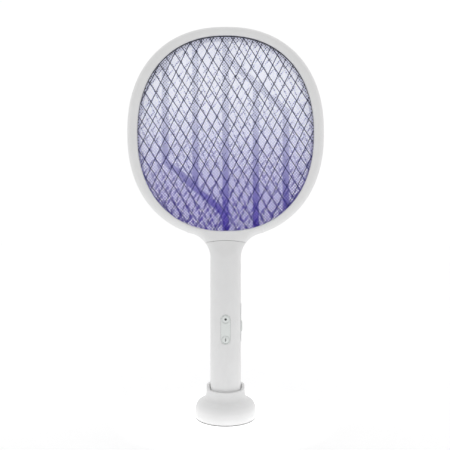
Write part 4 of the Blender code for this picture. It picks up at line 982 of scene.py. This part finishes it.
def flat_ring(name, lines, inner_out, outer_out, low_y, high_y, start=0.0, sweep=360.0, steps=180):
    """A flat ring, or a piece of one, that follows the opening."""
    whole = sweep >= 360.0
    rings = []
    for k in range(steps if whole else steps + 1):
        angle = math.radians(start + sweep * k / steps)
        inner, outer = lines.opening(angle, inner_out), lines.opening(angle, outer_out)
        corners = ((inner, low_y), (outer, low_y), (outer, high_y), (inner, high_y))
        rings.append([(p.x, y, p.y) for p, y in corners])
    return swept(name, rings, closed=whole)


def make_nets(lines):
    """Two guard nets with welded crossings, and the fine grid between them."""
    nets = settings().nets
    guard = {"Pitch": nets.pitch, "Knot": nets.knot, "Tilt": nets.tilt}
    front = {**guard, "Strand": nets.strand, "Turn": nets.front_turn}
    rear = {**guard, "Strand": nets.rear_strand, "Turn": nets.rear_turn}
    grid = {"Pitch": nets.grid_pitch, "Strand": nets.grid_wire, "Tilt": nets.grid_tilt}
    front_centre, rear_centre = (nets.front_shift, -1.0 * MM), (-0.3 * MM, -2.2 * MM)
    make_net("front_net_strands", "front_guard_net", "net_steel", lines, front_centre, front)
    make_net("rear_net_strands", "rear_guard_net", "net_steel", lines, rear_centre, rear)
    make_net("fine_grid_wires", "hv_grid", "grid_steel", lines, (0.0, 0.0), grid)


def make_spacers_and_window(lines):
    """The smooth rings that hold the nets apart, and the lamp's window at the bottom of the rear one."""
    low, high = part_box("front_net_spacer")
    outer = high.x - lines.opening_half_width
    inner = 0.8 * MM
    front = flat_ring("front_spacer_ring", lines, inner, outer, low.y, high.y)
    fitted(front, "racket", "black_nylon", "front_net_spacer")
    low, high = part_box("rear_net_spacer")
    window_low, window_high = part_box("lamp_window")
    corner = Vector((window_high.x, window_low.z - lines.opening_z))
    half = math.degrees(math.atan2(corner.x, lines.opening_half_height + outer))
    rear = flat_ring("rear_spacer_ring", lines, inner, outer, low.y, high.y, -90 + half + 0.5, 359 - 2 * half)
    fitted(rear, "racket", "black_nylon", "rear_net_spacer")
    window = flat_ring("lamp_window_strip", lines, inner, outer, low.y, high.y, -90 - half, 2 * half, steps=48)
    fitted(window, "racket", "clear_window", "lamp_window")


def make_head(lines):
    front_foot = -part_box("front_guard_net")[0].y + GAP
    rear_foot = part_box("rear_guard_net")[1].y + GAP
    front = head_shell("front_head_moulding", lines, -1, front_foot)
    fitted(front, "racket", "white_abs", "front_head_shell")
    rear = head_shell("rear_head_moulding", lines, 1, rear_foot)
    screws = [f"head_screw_{k}" for k in range(1, 7)]
    cut(rear, counterbores(screws, lines.half_depth + 3 * MM))
    fitted(rear, "racket", "white_abs", "rear_head_shell")


# ---------------------------------------------------------------- handle and controls


def handle_half(name, lines, side):
    """Half of the handle's tube, with small chamfers at both ends and along the parting line."""
    steps, edge, wall = 96, lines.sizes.parting_edge, lines.sizes.wall
    bottom, top = lines.handle_bottom, lines.flare_z
    rings = []

    def ring(outer, inner):
        points = outer + inner[::-1]
        rings.append([(x, side * max(y, SPLIT), z) for x, y, z in points])

    def level(z, inward):
        return [(x, y, z) for x, y in lines.half_section(z, inward, steps)]

    ring(level(bottom, edge), level(bottom, wall))
    ring(level(bottom + edge, 0.0), level(bottom + edge, wall))
    for k in range(1, 9):
        z = bottom + edge + (top - bottom - edge) * k / 8
        ring(level(z, 0.0), level(z, wall))
    for k in range(1, 20):
        share = k / 20
        ring(lines.section_at_share(share, 0.0, steps), lines.section_at_share(share, wall, steps))
    for inward, below in ((0.0, GAP + edge), (edge, GAP)):
        outer = lines.section_at_share(1.0, inward, steps, below)
        ring(outer, lines.section_at_share(1.0, wall, steps, below))
    return swept(name, rings)


def front_wall(reach):
    """Places an outline on a plane in front of the handle, looking along +Y."""
    return lambda a, b, end: (a, -reach[end], b)


def side_wall(reach):
    """Places an outline on a plane beside the handle, looking along -X."""
    return lambda a, b, end: (reach[end], a, b)


def make_handle(lines):
    sizes = settings().handle
    reach = (lines.handle_radius * 0.6, lines.handle_radius + 3 * MM)
    panel = obround(sizes.panel_radius + GAP / 2, sizes.key_lower, sizes.key_upper)
    plate_low, plate_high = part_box("switch_plate")
    half = plate_high.y
    plate = obround(half + GAP, plate_low.z + half, plate_high.z - half)
    front = handle_half("front_handle_moulding", lines, -1)
    cutters = [prism("panel_cut", panel, front_wall(reach)), prism("side_cut", plate, side_wall(reach))]
    cut(front, cutters)
    fitted(front, "racket", "white_abs", "handle_front_shell")
    rear = handle_half("rear_handle_moulding", lines, 1)
    screws = [f"handle_screw_{k}" for k in range(1, 5)]
    cutters = counterbores(screws, lines.handle_radius + 3 * MM)
    cut(rear, [*cutters, prism("side_cut", plate, side_wall(reach))])
    fitted(rear, "racket", "white_abs", "handle_rear_shell")


def curved_plate(name, lines, half_width, low, high, proud, thickness, on_cylinder):
    """An obround plate bent round the handle, its top edge rounded. on_cylinder(a, b, radius) gives its points."""
    face = lines.handle_radius + proud
    edge = 0.35 * MM
    levels = [(half_width, face - thickness), (half_width, face - edge)]
    for back, rise in arc((edge, -edge), edge, 180, 90, 4)[1:]:
        levels.append((half_width - back, face + rise))
    levels += [(half_width * share, face) for share in (0.8, 0.6, 0.4, 0.2, 0.0)]
    levels += [(half_width * share, face - thickness) for share in (0.0, 0.5)]
    steps = len(obround(1.0, 0.0, 1.0))
    rings = []
    for k in range(steps):
        rings.append([on_cylinder(*obround(radius, low, high)[k], depth) for radius, depth in levels])
    made = swept(name, rings, closed=True)
    bm = bmesh.new()
    bm.from_mesh(made.data)
    bmesh.ops.remove_doubles(bm, verts=bm.verts, dist=1e-6)
    bmesh.ops.dissolve_degenerate(bm, edges=bm.edges, dist=1e-7)
    bmesh.ops.recalc_face_normals(bm, faces=bm.faces)
    bm.to_mesh(made.data)
    bm.free()
    smoothed(made.data)
    return made


def key_cap(name, node):
    """A round key with a crowned face and a small fillet, on the model's stem."""
    low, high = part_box(node)
    radius, face, back = settings().handle.key_radius, -low.y, -high.y
    edge = math.sqrt(face**2 - radius**2)
    fillet = 0.45 * MM
    profile = [(0.0, face)]
    for share in (0.2, 0.4, 0.6, 0.75):
        profile.append((radius * share, face - (face - edge) * 0.75 * share**2))
    crown = profile[-1][1] - 0.06 * MM
    for across, height in arc((radius - fillet, crown - fillet), fillet, 80, 0, 5):
        profile.append((across, height))
    under = face - 2.1 * MM
    flange = (high.x - low.x) / 2
    profile += [(radius, under), (flange, under), (flange, under - 1.0 * MM)]
    profile += [(1.5 * MM, under - 1.0 * MM), (1.5 * MM, back), (0.0, back)]
    made = turned(name, profile, segments=64)
    place = Matrix.Translation((0.0, 0.0, (low.z + high.z) / 2)) @ Matrix.Rotation(math.radians(90), 4, "X")
    made.data.transform(place)
    return made


def make_keys(lines):
    """The key panel, the two keys and their printed signs."""
    sizes = settings().handle
    proud = -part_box("key_panel")[0].y - lines.handle_radius

    def on_front(a, b, radius):
        return (a, -math.sqrt(radius**2 - a * a), b)

    centres = (sizes.key_lower, sizes.key_upper)
    panel = curved_plate("key_panel_plate", lines, sizes.panel_radius, *centres, proud, 1.5 * MM, on_front)
    reach = (lines.handle_radius * 0.6, lines.handle_radius + 3 * MM)
    hole = sizes.key_radius + sizes.key_clearance
    cut(panel, [cylinder(f"hole_{k}", (0, -reach[0], z), (0, -reach[1], z), hole, 64) for k, z in enumerate(centres)])
    fitted(panel, "racket", "key_plastic", "key_panel")
    fitted(key_cap("mode_key_cap", "mode_key"), "mode_key", "key_plastic", "mode_key")
    fitted(key_cap("zap_key_cap", "zap_key"), "zap_key", "key_plastic", "zap_key")

    face = -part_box("mode_key")[0].y
    ink = (face - 0.3 * MM, face + 0.03 * MM)
    dot = arc((0.0, sizes.key_upper), sizes.mark_size / 2, 0, 352.5, 47)
    fitted(prism("mode_dot", dot, front_wall(ink)), "mode_key", "key_plastic", finish="mark_ink")
    upper = [(0.4, 2.6), (-1.0, -0.3), (-0.05, -0.1), (0.2, 0.3)]
    lower = [(-0.4, -2.6), (1.0, 0.3), (0.05, 0.1), (-0.2, -0.3)]
    for name, half in (("zap_sign_upper", upper), ("zap_sign_lower", lower)):
        outline = [(a * MM, sizes.key_lower + b * MM) for a, b in half]
        fitted(prism(name, outline, front_wall(ink)), "zap_key", "key_plastic", finish="mark_ink")


def make_switch(lines):
    """The slide switch's plate on the handle's side, and its ribbed knob."""
    low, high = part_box("switch_plate")
    knob_low, knob_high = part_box("switch_knob")
    travel = next(joint for joint in frame["joints"] if joint["child"] == "switch_knob")["range_m"][1]
    half = high.y

    def on_side(a, b, radius):
        return (math.sqrt(radius**2 - a * a), a, b)

    proud = high.x - lines.handle_radius
    plate = curved_plate("switch_plate_cover", lines, half, low.z + half, high.z - half, proud, 2.0 * MM, on_side)
    clear = settings().handle.key_clearance
    slot_low = (lines.handle_radius * 0.6, knob_low.y - clear, knob_low.z - clear)
    slot_high = (lines.handle_radius + 3 * MM, knob_high.y + clear, knob_high.z + travel + clear)
    cut(plate, [block("slot_cut", slot_low, slot_high)])
    fitted(plate, "racket", "switch_grey", "switch_plate")

    knob = block("slide_knob", knob_low, knob_high, 0.5 * MM, 4)
    fitted(knob, "switch_knob", "key_plastic", "switch_knob")
    count = settings().handle.knob_ribs
    step = (knob_high.z - knob_low.z - 2 * MM) / count
    pairs = []
    for k in range(count):
        z = knob_low.z + MM + step * (k + 0.5)
        pairs.append(((knob_high.x, knob_low.y + 0.7 * MM, z), (knob_high.x, knob_high.y - 0.7 * MM, z)))
    values = {"Width": step * 0.5, "Depth": 0.4 * MM, "Corner": 0.12 * MM}
    values["Material"] = finishes()["key_plastic"]
    tree = bpy.data.node_groups.get("Rib bars") or rib_tree()
    grips = grown("knob_grip_ribs", edges_mesh("grip_lines", pairs), tree, values)
    fitted(grips, "switch_knob", "key_plastic")


# ---------------------------------------------------------------- dock


def smooth_through(points, steps):
    """A smooth curve through the points."""
    ends = [Vector(points[0]) * 2 - Vector(points[1]), Vector(points[-1]) * 2 - Vector(points[-2])]
    guide = [ends[0], *[Vector(point) for point in points], ends[1]]
    curve = []
    for k in range(1, len(guide) - 2):
        a, b, c, d = guide[k - 1 : k + 3]
        for step in range(steps):
            t = step / steps
            linear_part = b * 2 + (c - a) * t
            curve.append((linear_part + (a * 2 - b * 5 + c * 4 - d) * t**2 + (b * 3 - a - c * 3 + d) * t**3) / 2)
    return [tuple(point) for point in curve] + [tuple(guide[-2])]


def dock_section(socket, bell, skirt, floor):
    """Closed section of the dock's shell, as (radius, height), from the socket's floor outwards."""
    sizes = settings().dock
    wall, rim, foot = sizes.wall, sizes.rim_height, sizes.foot_height
    collar = socket + wall + 1.3 * MM
    tube, inner = socket + wall, bell - wall
    lip = 0.7 * MM
    section = [(0.0, floor), (socket - 0.6 * MM, floor), (socket, floor + 0.6 * MM)]
    section += [(socket, floor + (rim - lip - floor) * k / 4) for k in range(1, 4)]
    for middle, start in ((socket + lip, 180), (collar - lip, 90)):
        section += arc((middle, rim + 0.8 * MM - lip), lip, start, start - 90, 6)
    outside = [
        (collar + 0.3 * MM, foot + 6.5 * MM),
        (collar + 0.9 * MM, foot + 3.0 * MM),
        (collar + 2.0 * MM, foot + 0.2 * MM),
        (collar + 4.4 * MM, foot - 1.3 * MM),
        (bell - 6.6 * MM, foot - 2.3 * MM),
        (bell - 3.0 * MM, foot - 4.9 * MM),
        (bell - 0.9 * MM, foot - 9.2 * MM),
        (bell - 0.2 * MM, foot - 13.2 * MM),
        (bell, foot - 16.5 * MM),
        (bell - 0.2 * MM, foot - 19.0 * MM),
    ]
    section += smooth_through(outside, 5)
    section += [(bell - 0.6 * MM, skirt + 0.4 * MM), (bell - 1.2 * MM, skirt), (inner - 0.6 * MM, skirt)]
    section += [(inner - 0.4 * MM, foot - 15.0 * MM), (inner - 2.6 * MM, foot - 8.8 * MM)]
    section += [(inner - 6.6 * MM, foot - 6.0 * MM), (tube, foot - 5.2 * MM), (tube, floor - wall)]
    return section + [(0.0, floor - wall)]


def flat_disc(name, node, edge):
    """A disc that fills a node's box, chamfered below, with the box's low corner."""
    low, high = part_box(node)
    profile = [(0.0, low.z), (high.x - edge, low.z), (high.x, low.z + edge), (high.x, high.z), (0.0, high.z)]
    return low, turned(name, profile, segments=128)


def make_dock():
    sizes = settings().dock
    low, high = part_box("dock_body")
    handle_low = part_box("handle_front_shell")[0]
    socket = -handle_low.y + sizes.socket_clearance
    floor = handle_low.z - GAP
    foot, rise = sizes.foot_height, sizes.back_rise

    def rim_lift(angle, height):
        """The collar's rim stands higher behind the handle than in front of it."""
        share = min(max((math.sin(angle) + 0.4) / 0.5, 0.0), 1.0)
        climb = min(max((height - foot) / (sizes.rim_height - foot), 0.0), 1.0)
        return rise * share * share * (3 - 2 * share) * climb

    body = turned("dock_housing", dock_section(socket, high.x, low.z, floor), segments=160, lift=rim_lift)
    cutters = []
    for side in ("left", "right"):
        pin_low, pin_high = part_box(f"dock_pin_{side}")
        x = (pin_low.x + pin_high.x) / 2
        cutters.append(cylinder(f"pin_hole_{side}", (x, 0, floor - 4 * MM), (x, 0, floor + MM), 1.6 * MM))
    usb_low, usb_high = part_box("dock_usb_socket")
    inlet_low = (usb_low.x - GAP, usb_high.y - 3 * MM, usb_low.z - GAP)
    inlet_high = (usb_high.x + GAP, usb_high.y + 4 * MM, usb_high.z + GAP)
    cutters.append(block("inlet_cut", inlet_low, inlet_high, 1.0 * MM, 4))
    cut(body, cutters)
    fitted(body, "dock", "white_abs", "dock_body")

    low, plate = flat_disc("dock_floor_plate", "dock_bottom_plate", 0.25 * MM)
    cutters = []
    for k in (1, 2, 3):
        screw_low, screw_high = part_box(f"dock_screw_{k}")
        x, y = (screw_low.x + screw_high.x) / 2, (screw_low.y + screw_high.y) / 2
        radius = (screw_high.x - screw_low.x) / 2 + GAP
        cutters.append(cylinder(f"recess_{k}", (x, y, low.z - MM), (x, y, low.z + 1.5 * MM), radius))
    cut(plate, cutters)
    fitted(plate, "dock", "white_abs", "dock_bottom_plate")

    _, pad = flat_disc("dock_rubber_pad", "dock_foot_pad", sizes.pad_edge)
    fitted(pad, "dock", "foot_rubber", "dock_foot_pad")


# ---------------------------------------------------------------- screws and inner parts


def screw_shape(name, radius, length, shank):
    """A pan-head screw along Z with a cross recess, its head's face at the origin."""
    rise = 0.5 * MM
    profile = [(0.0, 0.0)]
    for k in range(1, 6):
        share = k / 5
        profile.append((radius * (0.35 + 0.65 * share), -rise * share**2))
    profile += [(radius, -1.2 * MM), (shank, -1.4 * MM), (shank, -length + MM), (0.0, -length)]
    made = turned(name, profile, segments=40)
    arm, width = radius * 0.62, radius * 0.2
    for k, size in enumerate(((arm, width), (width, arm))):
        low = (-size[0], -size[1], -0.8 * MM)
        cut(made, [block(f"{name}_cross_{k}", low, (size[0], size[1], MM))])
    return made


def screw_tree():
    """One screw on each point, turned at random about its own axis."""
    sockets = [("Places", "Geometry", None), ("Screw", "Object", None), ("Facing", "Vector", (0.0, 0.0, 0.0))]
    tree, inputs = new_tree("Screws", [*sockets, ("Seed", "Int", 7), ("Material", "Material", None)])
    screw = add(tree, "GeometryNodeObjectInfo", {"Object": inputs["Screw"]}).outputs["Geometry"]
    placing = {"Points": inputs["Places"], "Instance": screw, "Rotation": inputs["Facing"]}
    placed = add(tree, "GeometryNodeInstanceOnPoints", placing).outputs[0]
    turns = {0: (0.0, 0.0, 0.0), 1: (0.0, 0.0, math.tau), "Seed": inputs["Seed"]}
    spin = add(tree, "FunctionNodeRandomValue", turns, data_type="FLOAT_VECTOR").outputs[0]
    turning = {"Instances": placed, "Rotation": spin, "Local Space": True}
    return close_tree(tree, add(tree, "GeometryNodeRotateInstances", turning).outputs[0], inputs["Material"])


def make_screws():
    """Every screw of the head, the handle and the dock."""
    steel = finishes()["screw_steel"]
    tree = screw_tree()
    groups = (
        ("head_screws", "racket", "head_screw_", 6, 1),
        ("handle_screws", "racket", "handle_screw_", 4, 1),
        ("dock_screws", "dock", "dock_screw_", 3, 2),
    )
    for seed, (name, body, stem, count, axis) in enumerate(groups):
        nodes = [f"{stem}{k}" for k in range(1, count + 1)]
        boxes = [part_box(node) for node in nodes]
        low, high = boxes[0]
        radius = (high.x - low.x) / 2
        length = (high - low)[axis]
        pattern = screw_shape(f"{name}_pattern", radius, length, radius * 0.55)
        places = []
        for low, high in boxes:
            middle = (low + high) / 2
            middle[axis] = high[axis] if axis == 1 else low[axis]
            places.append(middle)
        mesh = bpy.data.meshes.new(name + "_places")
        mesh.from_pydata([tuple(place) for place in places], [], [])
        facing = (math.radians(-90), 0.0, 0.0) if axis == 1 else (math.radians(180), 0.0, 0.0)
        values = {"Screw": pattern, "Facing": facing, "Seed": seed, "Material": steel}
        screws = grown(name, mesh, tree, values)
        bpy.data.objects.remove(pattern, do_unlink=True)
        fitted(screws, body, "screw_steel", *nodes)


INNER_FINISHES = {
    "black_nylon": ("neck_coupler",),
    "circuit_board": ("uv_led_board", "main_circuit_board", "dock_circuit_board"),
    "led_package": ("uv_led_1", "uv_led_2", "uv_led_3"),
    "component_black": ("mode_tact_switch", "zap_tact_switch", "switch_body", "step_up_transformer"),
    "battery_wrap": ("storage_capacitor", "battery_cell"),
    "red_lead": ("grid_lead",),
    "dark_lead": ("net_lead", "lamp_lead"),
    "white_abs": ("handle_end_cap",),
    "contact_brass": ("charge_contact_left", "charge_contact_right", "dock_pin_left", "dock_pin_right"),
    "ballast_iron": ("dock_weight",),
    "screw_steel": ("dock_usb_socket",),
}


def paint_inner_parts():
    """Gives the model's own meshes, which stay in view inside, their finishes."""
    made = finishes()
    for finish, names in INNER_FINISHES.items():
        for name in names:
            piece = frame["nodes"][name]
            for slot in piece.material_slots:
                slot.material = made[finish]


# ---------------------------------------------------------------- studio

PAINTED_LIGHT_POOL_EDGES = (0.04, 0.13)  # where the painted pool of light on the floor round the dock starts and stops to fade, from its axis
PAINTED_LIGHT_POOL_LEVELS = (0.85, 0.15)  # how strongly the floor gives off that painted light there
PAINTED_SHADOW_EDGES = (0.0335, 0.0365)  # the dock's edge, inside which the floor gives off nothing, as a painted shadow under the dock
ROOM_LEVELS = (0.67, 1.02)  # brightness of the room from the camera's side to the far side
OVERHEAD_LEVEL = 1.15  # how much brighter the room is straight above
FLOOR_HALF = 6.0
CAMERA_PLACE = (-0.0007, -0.656, 0.22)
LENS_MM, SENSOR_MM = 45.6, 36.0


def floor_material():
    """Seamless white paper: matt, with a faint fibre, giving off a painted pool of light round the dock and a painted
    shadow under it.
    """
    material, tree, shader, place = new_material("paper_seamless_white")
    fibre = noise(tree, place, 0.8, 3.0)
    reach = add(tree, "ShaderNodeVectorMath", {0: place}, operation="LENGTH").outputs["Value"]
    # Painted light: the floor glows in a pool round the dock and stays dark under it, a painted shadow.
    painted_light_pool = remap(tree, reach, PAINTED_LIGHT_POOL_EDGES, PAINTED_LIGHT_POOL_LEVELS, "SMOOTHSTEP")
    shade = remap(tree, reach, PAINTED_SHADOW_EDGES, (0.0, 1.0), "SMOOTHSTEP")
    inputs = {
        "Base Color": mottled(tree, place, tuple(settings().colours.floor), 40.0, 0.004),
        "Normal": relief(tree, fibre, 0.02),
        "Roughness": remap(tree, fibre, (0.0, 1.0), (0.85, 0.95)),
        "Emission Color": (1.0, 1.0, 1.0, 1.0),
        "Emission Strength": reckon(tree, "MULTIPLY", painted_light_pool, shade),
    }
    feed(tree, shader, inputs)
    return material


def light_room():
    """White all round, and darker from where the camera stands, so that edges stay bright and faces turn grey."""
    world = bpy.data.worlds.new("white_room")
    world.use_nodes = True
    bpy.context.scene.world = world
    tree = world.node_tree
    direction = add(tree, "ShaderNodeTexCoord").outputs["Generated"]
    parts = add(tree, "ShaderNodeSeparateXYZ", {"Vector": direction})
    level = remap(tree, parts.outputs["Y"], (-1.0, 0.6), ROOM_LEVELS, "SMOOTHSTEP")
    overhead = remap(tree, parts.outputs["Z"], (0.4, 1.0), (1.0, OVERHEAD_LEVEL))
    inputs = {"Strength": reckon(tree, "MULTIPLY", level, overhead), "Color": (1.0, 1.0, 1.0, 1.0)}
    feed(tree, tree.nodes["Background"], inputs)


def set_stage():
    """Floor, room light and camera."""
    mesh = bpy.data.meshes.new("studio_floor")
    bm = bmesh.new()
    bmesh.ops.create_grid(bm, x_segments=1, y_segments=1, size=FLOOR_HALF)
    bm.to_mesh(mesh)
    bm.free()
    floor = linked("studio_floor", mesh)
    mesh.materials.append(floor_material())
    floor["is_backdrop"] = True
    light_room()
    camera = bpy.data.objects.new("front_camera", bpy.data.cameras.new("front_camera"))
    bpy.context.scene.collection.objects.link(camera)
    camera.location = CAMERA_PLACE
    camera.rotation_euler = (math.radians(90), 0.0, 0.0)
    camera.data.lens = LENS_MM
    camera.data.sensor_width = SENSOR_MM
    camera.data.clip_start = 0.01
    bpy.context.scene.camera = camera
    bpy.context.scene.view_settings.view_transform = "Standard"


# ---------------------------------------------------------------- add-on


class FLYSWATTER_OT_head(bpy.types.Operator):
    """Make the two mouldings of the racket head"""

    bl_idname = "flyswatter.head"
    bl_label = "Head mouldings"

    def execute(self, context):
        make_head(Outlines())
        return {"FINISHED"}


class FLYSWATTER_OT_ribs(bpy.types.Operator):
    """Make the ribs behind the nets"""

    bl_idname = "flyswatter.ribs"
    bl_label = "Rear ribs"

    def execute(self, context):
        make_ribs(Outlines())
        return {"FINISHED"}


class FLYSWATTER_OT_nets(bpy.types.Operator):
    """Make the two guard nets and the fine grid"""

    bl_idname = "flyswatter.nets"
    bl_label = "Nets"

    def execute(self, context):
        make_nets(Outlines())
        return {"FINISHED"}


class FLYSWATTER_OT_spacers(bpy.types.Operator):
    """Make the net spacers and the lamp window"""

    bl_idname = "flyswatter.spacers"
    bl_label = "Spacers and lamp window"

    def execute(self, context):
        make_spacers_and_window(Outlines())
        return {"FINISHED"}


class FLYSWATTER_OT_handle(bpy.types.Operator):
    """Make the two halves of the handle"""

    bl_idname = "flyswatter.handle"
    bl_label = "Handle mouldings"

    def execute(self, context):
        make_handle(Outlines())
        return {"FINISHED"}


class FLYSWATTER_OT_keys(bpy.types.Operator):
    """Make the key panel, the keys and their signs"""

    bl_idname = "flyswatter.keys"
    bl_label = "Keys"

    def execute(self, context):
        make_keys(Outlines())
        return {"FINISHED"}


class FLYSWATTER_OT_switch(bpy.types.Operator):
    """Make the slide switch on the handle's side"""

    bl_idname = "flyswatter.switch"
    bl_label = "Slide switch"

    def execute(self, context):
        make_switch(Outlines())
        return {"FINISHED"}


class FLYSWATTER_OT_dock(bpy.types.Operator):
    """Make the charging dock with its floor plate and rubber pad"""

    bl_idname = "flyswatter.dock"
    bl_label = "Dock"

    def execute(self, context):
        make_dock()
        return {"FINISHED"}


class FLYSWATTER_OT_screws(bpy.types.Operator):
    """Make every screw"""

    bl_idname = "flyswatter.screws"
    bl_label = "Screws"

    def execute(self, context):
        make_screws()
        return {"FINISHED"}


class FLYSWATTER_OT_inner_parts(bpy.types.Operator):
    """Give the inner parts their finishes"""

    bl_idname = "flyswatter.inner_parts"
    bl_label = "Inner parts"

    def execute(self, context):
        paint_inner_parts()
        return {"FINISHED"}


class FLYSWATTER_OT_stage(bpy.types.Operator):
    """Set the floor, the light and the camera"""

    bl_idname = "flyswatter.stage"
    bl_label = "Stage"

    def execute(self, context):
        set_stage()
        return {"FINISHED"}


STEPS = (
    FLYSWATTER_OT_head,
    FLYSWATTER_OT_ribs,
    FLYSWATTER_OT_nets,
    FLYSWATTER_OT_spacers,
    FLYSWATTER_OT_handle,
    FLYSWATTER_OT_keys,
    FLYSWATTER_OT_switch,
    FLYSWATTER_OT_dock,
    FLYSWATTER_OT_screws,
    FLYSWATTER_OT_inner_parts,
    FLYSWATTER_OT_stage,
)


class FLYSWATTER_PT_panel(bpy.types.Panel):
    """Lists the steps that build the fly swatter"""

    bl_idname = "FLYSWATTER_PT_panel"
    bl_label = "Fly swatter"
    bl_space_type = "VIEW_3D"
    bl_region_type = "UI"
    bl_category = "Fly swatter"

    def draw(self, context):
        for step in STEPS:
            self.layout.operator(step.bl_idname)


CLASSES = (
    SwatterHeadSizes,
    SwatterNetSizes,
    SwatterHandleSizes,
    SwatterDockSizes,
    SwatterColours,
    SwatterSettings,
    *STEPS,
    FLYSWATTER_PT_panel,
)


def register():
    for cls in CLASSES:
        bpy.utils.register_class(cls)
    bpy.types.Scene.fly_swatter = bpy.props.PointerProperty(name="Fly swatter", type=SwatterSettings)


def unregister():
    del bpy.types.Scene.fly_swatter
    for cls in reversed(CLASSES):
        bpy.utils.unregister_class(cls)


def main():
    register()
    for step in STEPS:
        area, name = step.bl_idname.split(".")
        getattr(getattr(bpy.ops, area), name)()


if __name__ == "__main__":
    main()
